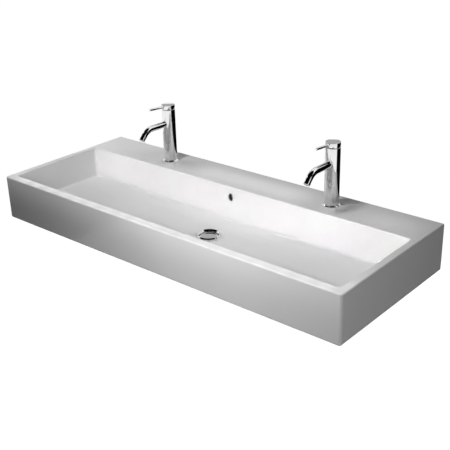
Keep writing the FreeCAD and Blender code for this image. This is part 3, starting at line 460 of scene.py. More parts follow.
def rounded(corners: Sequence[Spot]) -> list[Point]:
    """Round the corners of a closed profile.

    Args:
        corners: Radius, height and size of the rounding of each corner.

    Returns:
        Points of the profile in order.
    """
    points: list[Point] = []
    for index, (x, y, size) in enumerate(corners):
        if size <= 0:
            points.append((x, y))
            continue
        here = Vector((x, y))
        before = (Vector(corners[index - 1][:2]) - here).normalized()
        after = (Vector(corners[(index + 1) % len(corners)][:2]) - here).normalized()
        half = before.angle(after) / 2
        centre = here + (before + after).normalized() * size / math.sin(half)
        start = here + before * size / math.tan(half) - centre
        end = here + after * size / math.tan(half) - centre
        sweep = start.angle_signed(end)
        for step in range(ROUND_STEPS + 1):
            turn = Matrix.Rotation(-sweep * step / ROUND_STEPS, 2)
            points.append(tuple(centre + turn @ start))
    return points


def lathe(name: str, profile: Sequence[Point], place: Matrix, segments: int = TURN) -> Piece:
    """Turn a closed profile about Z.

    Args:
        name: Name of the piece.
        profile: Radius and height of each point in millimetres, once round.
        place: Where the axis goes, in metres.
        segments: Steps of the turn.

    Returns:
        The new piece, with outward faces.
    """
    work = bmesh.new()
    turns = [2 * math.pi * step / segments for step in range(segments)]
    rings: list[list[bmesh.types.BMVert]] = []
    for radius, height in profile:
        if radius < TINY:
            rings.append([work.verts.new((0, 0, height * MM))] * segments)
            continue
        spots = [(radius * math.cos(turn), radius * math.sin(turn), height) for turn in turns]
        rings.append([work.verts.new(Vector(spot) * MM) for spot in spots])
    for low, high in zip(rings, rings[1:] + rings[:1]):
        for step in range(segments):
            ahead = (step + 1) % segments
            loop = dict.fromkeys([low[step], low[ahead], high[ahead], high[step]])
            if len(loop) > 2:
                work.faces.new(list(loop))
    bmesh.ops.recalc_face_normals(work, faces=work.faces)
    return finished(work, name, place)


def at(x: float, y: float, z: float) -> Matrix:
    """Move by millimetres in the part's frame."""
    return Matrix.Translation(Vector((x, y, z)) * MM)


def carved(piece: Piece, cutters: Sequence[Piece], operation: str = "DIFFERENCE") -> Piece:
    """Cut tools out of a piece and remove the tools.

    Args:
        piece: Piece to cut.
        cutters: Closed meshes.
        operation: Boolean operation.

    Returns:
        The same piece with a plain mesh.
    """
    for cutter in cutters:
        cut = piece.modifiers.new("cut", "BOOLEAN")
        cut.operation = operation
        cut.object = cutter
        cut.solver = "EXACT"
    smoothed(applied(piece))
    for cutter in cutters:
        bpy.data.objects.remove(cutter)
    return piece


def box(name: str, low: Sequence[float], high: Sequence[float]) -> Piece:
    """Closed box for cutting.

    Args:
        name: Name of the tool.
        low: Lowest corner in millimetres.
        high: Highest corner in millimetres.

    Returns:
        The tool.
    """
    work = bmesh.new()
    bmesh.ops.create_cube(work, size=1.0)
    span = [(b - a) * MM for a, b in zip(low, high)]
    middle = [(a + b) / 2 for a, b in zip(low, high)]
    return finished(work, name, at(*middle) @ Matrix.Diagonal(span + [1.0]))


def bar(name: str, radius: float, low: float, high: float, place: Matrix) -> Piece:
    """Closed round bar for cutting, from low to high along the place's Z."""
    return lathe(name, [(0, low), (radius, low), (radius, high), (0, high)], place, COARSE_TURN)


@dataclass
class NodeTree:
    """A Geometry Nodes tree with named inputs, built in the script and applied at once."""

    name: str
    inputs: dict[str, float | int | Spot]
    grow: Callable[[Tree, Sockets], Socket]

    def make(self, piece: str, place: Matrix, material: Material) -> Piece:
        """Build the tree, run it and keep its mesh.

        Args:
            piece: Name of the piece.
            place: Where the mesh goes.
            material: Material that the tree sets.

        Returns:
            A plain mesh object.
        """
        kinds = {int: "NodeSocketInt", float: "NodeSocketFloat", tuple: "NodeSocketVector"}
        tree = bpy.data.node_groups.new(self.name, "GeometryNodeTree")
        sockets = {}
        for name, value in self.inputs.items():
            kind = kinds[type(value)]
            sockets[name] = tree.interface.new_socket(name, in_out="INPUT", socket_type=kind)
        tree.interface.new_socket("Mesh", in_out="OUTPUT", socket_type="NodeSocketGeometry")
        entry = add_node(tree, "NodeGroupInput")
        grown = self.grow(tree, {name: entry.outputs[name] for name in self.inputs})
        real = add_node(tree, "GeometryNodeRealizeInstances", {"Geometry": grown}).outputs[0]
        finish = {"Geometry": real, "Material": material}
        dressed = add_node(tree, "GeometryNodeSetMaterial", finish).outputs[0]
        add_node(tree, "NodeGroupOutput", {"Mesh": dressed})
        made = add_object(piece, bpy.data.meshes.new(piece))
        modifier = made.modifiers.new(self.name, "NODES")
        modifier.node_group = tree
        for name, value in self.inputs.items():
            modifier[sockets[name].identifier] = value
        applied(made)
        made.data.transform(place)
        return smoothed(made)


def grow_tube(tree: Tree, size: Sockets) -> Socket:
    """Skin of a bent tube: a line through three corners, rounded at the bend.

    Args:
        tree: Tree to build in.
        size: Sockets of the tube's corners and radii.

    Returns:
        Socket of the skin.
    """
    line = add_node(tree, "GeometryNodeMeshLine", {"Count": len(TUBE_CORNERS)}).outputs[0]
    index = add_node(tree, "GeometryNodeInputIndex").outputs[0]
    corners = add_node(tree, "GeometryNodeIndexSwitch", data_type="VECTOR")
    corners.index_switch_items.new()
    tree.links.new(index, corners.inputs["Index"])
    for number, name in enumerate(TUBE_CORNERS, start=1):
        tree.links.new(size[name], corners.inputs[number])
    spread = {"Geometry": line, "Position": corners.outputs[0]}
    moved = add_node(tree, "GeometryNodeSetPosition", spread).outputs[0]
    curve = add_node(tree, "GeometryNodeMeshToCurve", {"Mesh": moved}).outputs[0]
    bend = {"Curve": curve, "Count": BEND_STEPS, "Radius": size["Bend Radius"]}
    path = add_node(tree, "GeometryNodeFilletCurve", bend, mode="POLY").outputs[0]
    section = {"Resolution": SMALL_TURN, "Radius": size["Radius"]}
    ring = add_node(tree, "GeometryNodeCurvePrimitiveCircle", section).outputs[0]
    return add_node(tree, "GeometryNodeCurveToMesh", {"Curve": path, "Profile Curve": ring}).outputs[0]


def grow_thread(tree: Tree, size: Sockets) -> Socket:
    """Screw ridge that winds up from nought.

    Args:
        tree: Tree to build in.
        size: Sockets of the thread's sizes.

    Returns:
        Socket of the ridge.
    """
    radius = size["Root Radius"]
    winding = {"Resolution": COARSE_TURN, "Rotations": size["Turns"], "Height": size["Rise"]}
    winding |= {"Start Radius": radius, "End Radius": radius}
    path = add_node(tree, "GeometryNodeCurveSpiral", winding).outputs[0]
    section = {"Resolution": RIDGE_CORNERS, "Radius": size["Depth"]}
    ridge = add_node(tree, "GeometryNodeCurvePrimitiveCircle", section).outputs[0]
    sweep = {"Curve": path, "Profile Curve": ridge, "Fill Caps": True}
    return add_node(tree, "GeometryNodeCurveToMesh", sweep).outputs[0]


def grow_honeycomb(tree: Tree, size: Sockets) -> Socket:
    """Bundle of open six-sided cells inside a circle.

    Args:
        tree: Tree to build in.
        size: Sockets of the cells' sizes and number.

    Returns:
        Socket of the cells.
    """
    spread = {"Size X": size["Width"], "Size Y": size["Length"]}
    spread |= {"Vertices X": size["Rows"], "Vertices Y": size["Rows"]}
    grid = add_node(tree, "GeometryNodeMeshGrid", spread).outputs[0]
    index = add_node(tree, "GeometryNodeInputIndex").outputs[0]
    odd = add_node(tree, "ShaderNodeMath", {0: index, 1: 2.0}, operation="MODULO").outputs[0]
    step = add_node(tree, "ShaderNodeMath", {0: odd, 1: size["Half Pitch"]}, operation="MULTIPLY").outputs[0]
    shift = add_node(tree, "ShaderNodeCombineXYZ", {"X": step}).outputs[0]
    moved = add_node(tree, "GeometryNodeSetPosition", {"Geometry": grid, "Offset": shift}).outputs[0]
    where = add_node(tree, "GeometryNodeInputPosition").outputs[0]
    reach = add_node(tree, "ShaderNodeVectorMath", {0: where}, operation="LENGTH").outputs["Value"]
    limit = {0: reach, 1: size["Radius"]}
    outside = add_node(tree, "FunctionNodeCompare", limit, operation="GREATER_THAN").outputs[0]
    inside = {"Geometry": moved, "Selection": outside}
    kept = add_node(tree, "GeometryNodeDeleteGeometry", inside).outputs[0]
    wall = {"Vertices": HEX_SIDES, "Radius": size["Cell Radius"], "Depth": size["Depth"]}
    cell = add_node(tree, "GeometryNodeMeshCylinder", wall, fill_type="NONE").outputs[0]
    return add_node(tree, "GeometryNodeInstanceOnPoints", {"Points": kept, "Instance": cell}).outputs[0]


@dataclass(frozen=True)
class Thread:
    """Screw thread by its crest radius, depth and pitch, with some turns left plain at the ends."""

    crest: float
    depth: float
    pitch: float
    plain_turns: float
    lead_turns: float

    def cut_on(self, core: Piece, length: float, end: Matrix, material: Material) -> Piece:
        """Wind the ridge on a turned core.

        Args:
            core: Turned piece, which the result stands in for.
            length: Length that the ridge and the plain turns take up.
            end: Frame of the lower end.
            material: Material of the ridge.

        Returns:
            Core and ridge in one piece.
        """
        turns = length / self.pitch - self.plain_turns
        sizes = {"Root Radius": (self.crest - self.depth) * MM, "Depth": self.depth * MM}
        sizes |= {"Rise": self.pitch * turns * MM, "Turns": turns}
        start = end @ at(0, 0, self.pitch * self.lead_turns)
        ridge = NodeTree("screw_thread", sizes, grow_thread).make("ridge", start, material)
        name = core.name
        work = bmesh.new()
        for piece in (core, ridge):
            work.from_mesh(piece.data)
            bpy.data.objects.remove(piece)
        return finished(work, name)


@dataclass(frozen=True)
class HexNut:
    """Six-sided nut with both ends turned to a cone and a countersunk bore."""

    corner: float
    bore: float
    height: float
    cone_deg: float = 30.0
    cone_share: float = 1.6
    face_share: float = 0.97
    sink_share: float = 0.06
    overrun: float = 1.0

    def build(self, name: str, place: Matrix) -> Piece:
        """Cut the nut from a six-sided bar.

        Args:
            name: Name of the piece.
            place: Where its underside goes.

        Returns:
            The nut.
        """
        top, past = self.height, self.overrun
        nut = lathe(name, [(0, 0), (self.corner, 0), (self.corner, top), (0, top)], place, HEX_SIDES)
        flat = self.corner * math.cos(math.pi / HEX_SIDES)
        drop = (self.corner - flat) * math.tan(math.radians(self.cone_deg)) * self.cone_share
        face, wide = flat * self.face_share, self.corner + past
        limit = lathe("limit", [
            (0, 0), (face, 0), (wide, drop), (wide, top - drop), (face, top), (0, top),
        ], place)
        carved(nut, [limit], "INTERSECT")
        sink = self.bore * self.sink_share
        mouth = self.bore + sink + past
        hole = lathe("hole", [
            (0, -past), (mouth, -past), (self.bore, sink), (self.bore, top - sink),
            (mouth, top + past), (0, top + past),
        ], place)
        return carved(nut, [hole])


@dataclass
class Basin:
    """The glazed casting: bowl, deck, skirts and underside."""

    shop: Workshop
    area_weight: int = 100

    def build(self) -> None:
        """Dress the casting."""
        self.shop.set_up(self.casting(), "basin_body", Slot.GLAZE, "basin")

    def casting(self) -> Piece:
        """Weld a copy of the CAD node's loose triangles and smooth its shallow edges.

        Returns:
            The casting in one skin.
        """
        work = bmesh.new()
        work.from_mesh(self.shop.frame["nodes"]["basin"].data)
        bmesh.ops.remove_doubles(work, verts=work.verts, dist=TINY)
        piece = finished(work, "basin_casting")
        weigh = piece.modifiers.new("weighted", "WEIGHTED_NORMAL")
        weigh.keep_sharp = True
        weigh.weight = self.area_weight
        return applied(piece)


@dataclass
class Waste:
    """Waste fitting on the bowl floor, its clamping pieces below and the push-open plug."""

    shop: Workshop
    from_wall: float = WASTE_FROM_WALL_MM
    floor: float = RIM_MM - 114.5
    flange_radius: float = 35.0
    flange_height: float = 4.4
    flange_lift: float = 0.3
    flange_lip: float = 0.5
    flange_bevel: float = 2.6
    flange_brow: float = 0.4
    flange_foot_round: float = 0.3
    flange_slope: float = 5.0
    land: float = 3.5
    cup_radius: float = 30.0
    cup_wall: float = 2.5
    cup_base: float = -10.0
    cup_floor: float = -8.0
    cup_round: float = 0.4
    tail_bore: float = 18.5
    tail_end: float = -86.0
    tail_round: float = 0.5
    thread_top: float = -51.0
    thread: Thread = Thread(crest=20.95, depth=1.05, pitch=2.309, plain_turns=1.1, lead_turns=0.6)
    groove: float = 2.0
    slot_low: float = -26.0
    slot_high: float = -16.0
    slot_width: float = 9.0
    nut: HexNut = HexNut(corner=30.0, bore=21.0, height=10.0)
    plug_radius: float = 26.0
    plug_base: float = -5.8
    plug_edge: float = -3.2
    plug_crown: float = 1.2
    plug_soft: float = 0.35
    plug_nip_share: float = 0.3
    plug_rings: int = 16

    def place(self, level: float = 0.0) -> Matrix:
        """Spot on the waste's axis at a level from the bowl floor."""
        return at(0.0, -self.from_wall, self.floor + level)

    def build(self) -> None:
        """Build the flange with its threaded tail, the back nut and the plug's cap."""
        self.shop.set_up(self.flange(), "basin_body", Slot.CHROME, "waste_flange")
        nut = self.nut.build("waste_back_nut", self.place(self.thread_top))
        self.shop.set_up(nut, "basin_body", Slot.BRASS, "back_nut")
        lid = self.shop.set_up(self.cap(), "plug", Slot.CHROME, "plug_cap")
        # The lid's brushed face is greyed by painted shade
        lid.data.materials[0] = LID.material()

    def flange(self) -> Piece:
        """Turn ring, cup and tail in one, cut the overflow slots and wind the trap's thread.

        Returns:
            The piece.
        """
        tail = self.thread.crest
        root = tail - self.thread.depth
        inner = self.cup_radius - self.cup_wall
        mouth = self.flange_radius - self.land
        turned = lathe("waste_ring", rounded([
            (self.tail_bore, self.tail_end, self.flange_foot_round), (root, self.tail_end, self.tail_round),
            (root, self.thread_top, 0), (tail, self.thread_top + self.thread.depth, 0),
            (tail, self.cup_base, 0), (self.cup_radius, self.cup_base, self.cup_round),
            (self.cup_radius, self.flange_lift, 0),
            (self.flange_radius, self.flange_lift, self.flange_foot_round),
            (self.flange_radius, self.flange_lift + self.flange_lip, self.flange_foot_round),
            (self.flange_radius - self.flange_bevel, self.flange_height, self.flange_brow),
            (mouth, self.flange_height, self.flange_brow),
            (inner, self.flange_height - self.flange_slope, self.tail_round),
            (inner, self.cup_floor, self.cup_round), (self.tail_bore, self.cup_floor, self.cup_round),
        ]), self.place(), FINE_TURN)
        half, reach, axis = self.slot_width / 2, tail + self.groove, -self.from_wall
        low, high = self.floor + self.slot_low, self.floor + self.slot_high
        ways = ((reach, half), (half, reach))
        carved(turned, [box("slot", (-x, axis - y, low), (x, axis + y, high)) for x, y in ways])
        length = self.thread_top - self.groove - self.tail_end
        chrome = self.shop.materials[Slot.CHROME]
        return self.thread.cut_on(turned, length, self.place(self.tail_end), chrome)

    def cap(self) -> Piece:
        """Turn the slightly domed lid of the plug.

        Returns:
            The lid.
        """
        sphere = (self.plug_radius ** 2 + self.plug_crown ** 2) / (2 * self.plug_crown)
        centre = self.plug_edge + self.plug_crown - sphere
        radii = [self.plug_radius * (1 - step / self.plug_rings) for step in range(self.plug_rings + 1)]
        dome = [(radius, centre + math.sqrt(sphere ** 2 - radius ** 2)) for radius in radii]
        soft, nip = self.plug_soft, self.plug_soft * self.plug_nip_share
        edge = [
            (self.plug_radius - soft, self.plug_base), (self.plug_radius, self.plug_base + soft),
            (self.plug_radius, self.plug_edge - soft), (self.plug_radius - nip, self.plug_edge - nip),
        ]
        return lathe("plug_lid", [(0, self.plug_base), *edge, *dome[1:]], self.place(), FINE_TURN)


@dataclass
class Tap:
    """One single-lever mixer with a pin lever."""

    shop: Workshop
    side: Side
    spacing: float = 600.0
    from_wall: float = 64.0
    height: float = 178.0
    body_radius: float = 20.5
    edge: float = 0.6
    fit_gap: float = 0.05
    cap_height: float = 13.4
    cap_round: float = 0.8
    cap_wall: float = 3.0
    cap_recess: float = 3.5
    seam: float = 1.2
    ring_radius: float = 25.0
    ring_height: float = 3.0
    ring_slope: float = 2.3
    ring_lip: float = 0.5
    spigot_radius: float = 16.0
    spigot_depth: float = 4.0
    bore_radius: float = 14.0
    bore_floor: float = 130.0
    seal_radius: float = 22.1
    seal_height: float = 1.0
    spout_height: float = 119.4
    spout_radius: float = 9.3
    spout_wall: float = 2.0
    spout_root: float = 10.0
    spout_run: float = 76.0
    bend_radius: float = 42.0
    bend_deg: float = 48.0
    nose: float = 16.5
    aerator_length: float = 8.0
    aerator_wall: float = 1.0
    aerator_gap: float = 0.1
    cell_pitch: float = 1.9
    cell_depth: float = 5.0
    cell_wall: float = 0.16
    cell_rows: int = 15
    lever_radius: float = 3.8
    lever_reach: float = 79.0
    lever_rise_deg: float = 4.5
    lever_below_top: float = 4.5
    lever_socket: float = 3.5
    lever_thread_radius: float = 2.5
    lever_thread_length: float = 7.0
    lever_tip_round: float = 0.9
    stem_radius: float = 3.5
    hub_radius: float = 7.5
    socket_roof: float = 4.8
    lift_deg: float = 18.0
    bevel_reach_share: float = 1.5
    inlet_apart: float = 16.0
    inlet_forward: float = 3.0
    inlet_radius: float = 4.5
    inlet_end: float = 15.0
    inlet_mouth_radius: float = 5.6
    inlet_mouth_end: float = 1.0
    stud_back: float = 10.0
    stud_top: float = 12.0
    stud_length: float = 60.0
    thread: Thread = Thread(crest=4.0, depth=0.6, pitch=1.25, plain_turns=1.6, lead_turns=0.8)
    nut: HexNut = HexNut(corner=7.5, bore=4.05, height=10.0)
    nut_base: float = -29.5
    overrun: float = 2.0

    def place(self, level: float = 0.0, back: float = 0.0) -> Matrix:
        """Spot on the tap's axis above the deck, or behind it."""
        return at(self.side.value * self.spacing / 2, -self.from_wall + back, RIM_MM + level)

    def along_lever(self) -> Matrix:
        """Work out the frame whose Z runs along the lever from the tap's axis.

        Returns:
            The frame.
        """
        rise = math.radians(self.lever_rise_deg)
        level = self.height - self.lever_below_top - self.body_radius * math.tan(rise)
        return self.place(level) @ Matrix.Rotation(math.pi / 2 - rise, 4, "X")

    def at_mouth(self) -> Matrix:
        """Work out the frame on the spout's mouth whose Z runs out with the water.

        Returns:
            The frame.
        """
        bend = math.radians(self.bend_deg)
        ahead = self.spout_run + self.bend_radius * math.sin(bend) + self.nose * math.cos(bend)
        level = self.spout_height - self.bend_radius * (1 - math.cos(bend)) - self.nose * math.sin(bend)
        return self.place(level, -ahead) @ Matrix.Rotation(math.pi / 2 + bend, 4, "X")

    def build(self) -> None:
        """Build every piece of the tap that shows."""
        fixed, handle, node = "basin_body", self.side.node("handle"), self.side.node
        chrome, dress = Slot.CHROME, self.shop.set_up
        dress(self.column(), fixed, chrome, node("tap_body"))
        dress(self.foot(), fixed, chrome, node("base_ring"))
        dress(self.spout(), fixed, chrome, node("spout"))
        dress(self.aerator(), fixed, chrome, node("aerator_shell"))
        dress(self.honeycomb(), fixed, Slot.PLASTIC, node("aerator_insert"))
        dress(self.cap(), handle, chrome, node("handle_cap"))
        dress(self.lever(), handle, chrome, node("pin_lever"))
        dress(self.stud(), fixed, Slot.STEEL, node("fixing_stud"))
        nut = self.nut.build(node("stud_nut"), self.place(self.nut_base, self.stud_back))
        dress(nut, fixed, Slot.BRASS, node("fixing_nut"))

    def column(self) -> Piece:
        """Turn the round body and cut the cartridge bore, the spout's socket and the foot's holes.

        Returns:
            The body.
        """
        top = self.height - self.cap_height - self.seam
        column = lathe(self.side.node("column"), rounded([
            (0, -self.spigot_depth, 0), (self.spigot_radius, -self.spigot_depth, self.edge),
            (self.spigot_radius, self.ring_height, 0), (self.body_radius, self.ring_height, self.edge),
            (self.body_radius, top, self.edge), (self.bore_radius, top, self.edge / 2),
            (self.bore_radius, self.bore_floor, 0), (0, self.bore_floor, 0),
        ]), self.place(), FINE_TURN)
        front = self.place(self.spout_height) @ Matrix.Rotation(math.pi / 2, 4, "X")
        reach = self.body_radius + self.overrun
        socket = bar("socket", self.spout_radius + self.fit_gap, self.spout_root, reach, front)
        below = -self.spigot_depth - self.overrun
        behind = self.place(0, self.stud_back)
        stud = bar("stud", self.thread.crest + self.fit_gap, below, self.stud_top, behind)
        inlets = []
        for hand in (-1, 1):
            spot = self.place(0, -self.inlet_forward) @ at(hand * self.inlet_apart / 2, 0, 0)
            inlets.append(bar("inlet", self.inlet_radius, below, self.inlet_end, spot))
            inlets.append(bar("mouth", self.inlet_mouth_radius, below, self.inlet_mouth_end, spot))
        return carved(column, [socket, stud, *inlets])

    def foot(self) -> Piece:
        """Turn the trim ring that covers the hole in the deck.

        Returns:
            The ring.
        """
        inner = self.spigot_radius + self.aerator_gap
        return lathe(self.side.node("foot_ring"), rounded([
            (inner, self.seal_height, 0), (self.seal_radius, self.seal_height, 0), (self.seal_radius, 0, 0),
            (self.ring_radius, 0, 0), (self.ring_radius, self.ring_lip, self.ring_lip / 2),
            (self.ring_radius - self.ring_slope, self.ring_height, self.edge / 2),
            (inner, self.ring_height, 0),
        ]), self.place(), FINE_TURN)

    def spout(self) -> Piece:
        """Sweep the bent tube by Geometry Nodes and give it its wall.

        Returns:
            The spout.
        """
        bend = math.radians(self.bend_deg)
        tangent = self.bend_radius * math.tan(bend / 2)
        corner = Vector((0, -self.spout_run - tangent, 0))
        mouth = corner - Vector((0, math.cos(bend), math.sin(bend))) * (tangent + self.nose)
        tree = NodeTree("bent_tube", {
            "Root": (0.0, -self.spout_root * MM, 0.0), "Bend": tuple(corner * MM), "Mouth": tuple(mouth * MM),
            "Bend Radius": self.bend_radius * MM, "Radius": self.spout_radius * MM,
        }, grow_tube)
        level = self.place(self.spout_height)
        tube = tree.make(self.side.node("spout_tube"), level, self.shop.materials[Slot.CHROME])
        return smoothed(thickened(tube, self.spout_wall))

    def aerator(self) -> Piece:
        """Turn the shell with a lip that screws into the spout's mouth.

        Returns:
            The shell.
        """
        outer = self.spout_radius - self.spout_wall - self.aerator_gap
        inner = outer - self.aerator_wall
        lip = inner - self.aerator_wall
        soft = self.aerator_wall / 4
        return lathe(self.side.node("aerator_ring"), rounded([
            (lip, -self.aerator_wall, 0), (lip, 0, soft), (outer, 0, soft), (outer, -self.aerator_length, 0),
            (inner, -self.aerator_length, 0), (inner, -self.aerator_wall, 0),
        ]), self.at_mouth(), SMALL_TURN)

    def honeycomb(self) -> Piece:
        """Set out the bundle of six-sided cells that straightens the water.

        Returns:
            The cells.
        """
        bore = self.spout_radius - self.spout_wall - self.aerator_gap - self.aerator_wall
        cell_radius = self.cell_pitch / math.sqrt(3)
        span = self.cell_pitch * (self.cell_rows - 1)
        middle = self.at_mouth() @ at(0, 0, -self.aerator_wall - self.cell_depth / 2)
        tree = NodeTree("honeycomb", {
            "Width": span * MM, "Length": span * math.sqrt(0.75) * MM, "Rows": self.cell_rows,
            "Half Pitch": self.cell_pitch / 2 * MM, "Radius": (bore - cell_radius) * MM,
            "Cell Radius": cell_radius * MM, "Depth": self.cell_depth * MM,
        }, grow_honeycomb)
        cells = tree.make(self.side.node("aerator_cells"), middle, self.shop.materials[Slot.PLASTIC])
        return thickened(cells, self.cell_wall)

    def cap(self) -> Piece:
        """Turn the handle cap and cut the bevel behind that lets it tip, and the lever's socket.

        Returns:
            The cap.
        """
        low = self.height - self.cap_height
        rim = self.body_radius - self.cap_wall
        socket = self.stem_radius + self.fit_gap
        roof = self.height - self.socket_roof
        cap = lathe(self.side.node("cap"), rounded([
            (socket, low, 0), (self.hub_radius, low, self.edge / 3),
            (self.hub_radius, low + self.cap_recess, 0), (rim, low + self.cap_recess, 0),
            (rim, low, 0), (self.body_radius, low, self.edge),
            (self.body_radius, self.height, self.cap_round), (0, self.height, 0),
            (0, roof, 0), (socket, roof, 0),
        ]), self.place(), FINE_TURN)
        wide = self.body_radius * self.bevel_reach_share
        bevel = box("bevel", (-wide, 0, -self.cap_height), (wide, 2 * wide, 0))
        bevel.data.transform(self.place(low) @ Matrix.Rotation(math.radians(self.lift_deg), 4, "X"))
        shoulder = self.body_radius - self.lever_socket
        axis = self.along_lever()
        mouth = bar("mouth", self.lever_radius + self.fit_gap, shoulder, self.ring_radius, axis)
        tapped = bar("tapped", self.lever_thread_radius + self.fit_gap, 0, shoulder + self.edge, axis)
        return carved(cap, [bevel, mouth, tapped])

    def lever(self) -> Piece:
        """Turn the pin lever with its screwed end.

        Returns:
            The lever.
        """
        shoulder = self.body_radius - self.lever_socket
        start = shoulder - self.lever_thread_length
        return lathe(self.side.node("lever"), rounded([
            (0, start, 0), (self.lever_thread_radius, start, self.edge / 2),
            (self.lever_thread_radius, shoulder, 0), (self.lever_radius, shoulder, self.edge / 3),
            (self.lever_radius, self.lever_reach, self.lever_tip_round), (0, self.lever_reach, 0),
        ]), self.along_lever(), SMALL_TURN)

    def stud(self) -> Piece:
        """Turn the threaded stud that holds the tap from below.

        Returns:
            The stud.
        """
        end = self.stud_top - self.stud_length
        root = self.thread.crest - self.thread.depth
        core = lathe(self.side.node("stud"), rounded([
            (0, end, 0), (root, end, self.edge), (root, self.stud_top, self.edge / 2), (0, self.stud_top, 0),
        ]), self.place(0, self.stud_back), COARSE_TURN)
        start = self.place(end, self.stud_back)
        return self.thread.cut_on(core, self.stud_length, start, self.shop.materials[Slot.STEEL])


def facing(place: Spot, aim: Spot) -> Matrix:
    """Work out the frame at a place whose -Z looks at an aim."""
    turn = (Vector(aim) - Vector(place)).to_track_quat("-Z", "Y")
    return Matrix.Translation(place) @ turn.to_matrix().to_4x4()


class Beam(Enum):
    """Kind of lamp."""

    AREA = "soft light from a flat face"
    SPOT = "narrow cone from a point"


@dataclass
class Lamp:
    """One lamp, or a row of them side by side, with places and sizes in metres."""

    name: str
    place: Spot
    aim: Spot
    size: Point
    power: float
    spread_deg: float = 180.0
    count: int = 1
    beam: Beam = Beam.AREA
    mirrored: bool = False
    edge_blend: float = 0.6

    def build(self) -> None:
        """Add the lamp to the scene, with its width and power shared out over its count."""
        wide, high = self.size
        short = wide / self.count
        for index in range(self.count):
            light = bpy.data.lights.new(self.name, self.beam.name)
            light.energy = self.power / self.count
            if self.beam is Beam.SPOT:
                light.spot_size = math.radians(self.spread_deg)
                light.spot_blend = self.edge_blend
                light.shadow_soft_size = high / 2
            else:
                light.shape = "RECTANGLE"
                light.size, light.size_y = short, high
                light.spread = math.radians(self.spread_deg)
            lamp = add_object(self.name, light)
            along = Matrix.Translation(((index + 0.5) * short - wide / 2, 0.0, 0.0))
            lamp.matrix_world = facing(self.place, self.aim) @ along
            lamp.visible_glossy = self.mirrored


class Use(Enum):
    """What a card off camera is there for."""

    SHADE = "keeps a lamp off part of the object"
    MIRROR = "shows as a dark or grey band in the chrome and the glaze"


@dataclass
class Card:
    """Dark or grey card off camera, with places and sizes in metres."""

    name: str
    place: Spot
    aim: Spot
    size: Point
    use: Use
    tone: str = "#060606"

    def build(self) -> None:
        """Add the card to the stage."""
        card = sheet(self.name, self.size, facing(self.place, self.aim))
        material = bpy.data.materials.new(self.name)
        material.use_nodes = True
        tree = material.node_tree
        tone = add_node(tree, "ShaderNodeEmission", {"Color": linear(self.tone)}).outputs[0]
        tree.links.new(tone, tree.nodes["Material Output"].inputs["Surface"])
        card.data.materials.append(material)
        card.visible_camera = False
        card.visible_glossy = self.use is Use.MIRROR
        card.visible_diffuse = self.use is Use.SHADE
        card.visible_shadow = self.use is Use.SHADE


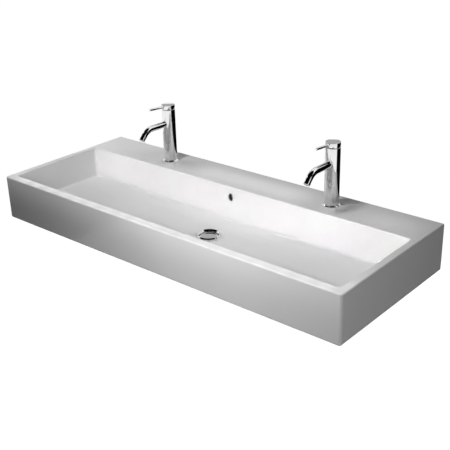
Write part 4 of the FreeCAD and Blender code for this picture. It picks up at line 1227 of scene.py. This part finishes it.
@dataclass
class Studio:
    """Pale floor, soft light and a camera at the photograph's viewing angle."""

    floor_level: float = -0.78
    floor_reach: float = 30.0
    floor_tone: str = "#8C8C8C"
    camera_place: Spot = (1.46337, -1.83527, 0.96572)
    view_deg: Spot = (41.130, 24.194, -1.640)
    lens: float = 67.584
    sensor: float = 36.0
    ambient: float = 0.02
    lamps: list[Lamp] = field(default_factory=lambda: [
        Lamp("bowl_key", (-0.3, -1.3, 1.45), (-0.24, -0.1, 0.0), (0.4, 0.25), 17.0),
        Lamp("wall_beam", (0.0, -1.75, 0.78), (0.0, -0.132, 0.035), (1.16, 0.03), 0.098, 5, 10),
        Lamp("deck_key", (-1.6, -0.1, 0.45), (0.0, -0.06, 0.0), (0.5, 0.3), 6.3),
        Lamp("deck_beam", (0.02, -0.07, 1.2), (0.02, -0.07, 0.0), (0.4, 0.06), 0.034, 8, 5),
        Lamp("deck_end_beam", (0.48, -0.07, 1.2), (0.48, -0.07, 0.0), (0.16, 0.06), 0.008, 8, 2),
        Lamp("left_rim_spots", (-0.28, -0.455, 0.55), (-0.28, -0.455, 0.0), (0.6, 0.02), 21.0,
             14, 10, Beam.SPOT),
        Lamp("right_rim_spots", (0.31, -0.455, 0.55), (0.31, -0.455, 0.0), (0.6, 0.02), 15.5,
             14, 10, Beam.SPOT),
        Lamp("rim_fill", (0.45, -0.5, 0.35), (0.45, -0.46, 0.0), (0.5, 0.06), 0.26),
        Lamp("front_fill", (0.2, -0.98, 0.3), (0.2, -0.47, 0.0), (0.3, 0.25), 2.14),
        Lamp("end_fill", (1.7, -0.9, 0.25), (0.6, -0.3, 0.0), (0.5, 0.5), 4.5),
        Lamp("back_fill", (0.3, 1.4, -0.55), (0.0, 0.0, -0.02), (1.5, 0.4), 12.0),
        Lamp("lip_glint", (-1.3, -0.35, 1.1), (-0.45, -0.13, 0.07), (0.2, 0.2), 0.6, mirrored=True),
    ])
    cards: list[Card] = field(default_factory=lambda: [
        Card("front_flag", (0.0, -1.05, -0.185), (0.0, 0.0, -0.185), (3.2, 1.19), Use.SHADE),
        Card("rim_flag", (0.0, -0.79, 0.42), (0.0, -0.79, 0.0), (3.2, 0.23), Use.SHADE),
        Card("front_card", (-2.15, -1.85, -0.77), (-2.15, -1.85, -1.0), (1.2, 1.3), Use.MIRROR, "#A8A8A8"),
        Card("back_card", (-0.35, 1.25, -0.25), (-0.35, 0.0, -0.25), (3.2, 1.06), Use.MIRROR),
        Card("side_card", (1.55, 0.62, 0.21), (0.6, -0.55, 0.21), (1.7, 1.98), Use.MIRROR),
        Card("camera_card", (1.2, -1.4, 1.55), (0.0, -0.2, 0.0), (3.0, 2.0), Use.MIRROR),
        Card("roof_card", (0.0, -1.35, 1.7), (0.0, -1.35, 0.0), (6.0, 3.4), Use.MIRROR),
        Card("left_card", (-1.45, 1.7, 1.3), (0.0, -0.06, 0.25), (3.0, 1.0), Use.MIRROR, "#B0B0B0"),
        Card("under_card", (0.0, 0.05, -0.77), (0.0, 0.05, -1.0), (3.0, 2.5), Use.MIRROR),
    ])

    def build(self) -> None:
        """Build the floor, the world, the lamps, the cards and the camera."""
        self.floor()
        self.world()
        for item in (*self.lamps, *self.cards):
            item.build()
        self.camera()
        bpy.context.scene.view_settings.view_transform = "Standard"

    def seen(self, tree: Tree) -> Socket:
        """Tell what is looked at from what lights the object.

        Args:
            tree: Tree of the floor or the world.

        Returns:
            Socket of one for camera, mirror and glass rays, and nought for the rest.
        """
        rays = add_node(tree, "ShaderNodeLightPath").outputs
        direct = rays["Is Camera Ray"]
        for ray in (rays["Is Glossy Ray"], rays["Is Transmission Ray"]):
            direct = add_node(tree, "ShaderNodeMath", {0: direct, 1: ray}, operation="MAXIMUM").outputs[0]
        return direct

    def floor(self) -> None:
        """Lay the pale floor, which shows white and still takes the shadow."""
        side = 2 * self.floor_reach
        floor = sheet("floor", (side, side), Matrix.Translation((0, 0, self.floor_level)))
        material = bpy.data.materials.new("pale_floor")
        material.use_nodes = True
        tree = material.node_tree
        matt = add_node(tree, "ShaderNodeBsdfDiffuse", {"Color": linear(self.floor_tone)}).outputs[0]
        glow = add_node(tree, "ShaderNodeEmission", {"Strength": self.seen(tree)}).outputs[0]
        both = add_node(tree, "ShaderNodeAddShader", {0: matt, 1: glow}).outputs[0]
        tree.links.new(both, tree.nodes["Material Output"].inputs["Surface"])
        floor.data.materials.append(material)

    def world(self) -> None:
        """Set white surroundings for the eye and for reflections, and a lower even light."""
        world = bpy.data.worlds.new("studio")
        world.use_nodes = True
        tree = world.node_tree
        span = {"Value": self.seen(tree), "To Min": self.ambient, "To Max": 1.0}
        strength = add_node(tree, "ShaderNodeMapRange", span).outputs["Result"]
        tree.links.new(strength, tree.nodes["Background"].inputs["Strength"])
        tree.nodes["Background"].inputs["Color"].default_value = WHITE
        bpy.context.scene.world = world

    def camera(self) -> None:
        """Stand the camera where the photograph was taken from."""
        azimuth, elevation, roll = (math.radians(angle) for angle in self.view_deg)
        look = Matrix.Rotation(azimuth, 4, "Z") @ Matrix.Rotation(math.pi / 2 - elevation, 4, "X")
        lens = bpy.data.cameras.new("camera")
        lens.lens = self.lens
        lens.sensor_width = self.sensor
        camera = add_object("camera", lens)
        camera.matrix_world = Matrix.Translation(self.camera_place) @ look @ Matrix.Rotation(roll, 4, "Z")
        bpy.context.scene.camera = camera


def main() -> None:
    """Load the frame, and build each sub-assembly and the studio."""
    logging.basicConfig(level=logging.INFO, format="%(name)s: %(message)s")
    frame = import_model()
    shop = Workshop(frame)
    Basin(shop).build()
    Waste(shop).build()
    for side in Side:
        Tap(shop, side).build()
    Studio().build()


if __name__ == "__main__":
    main()
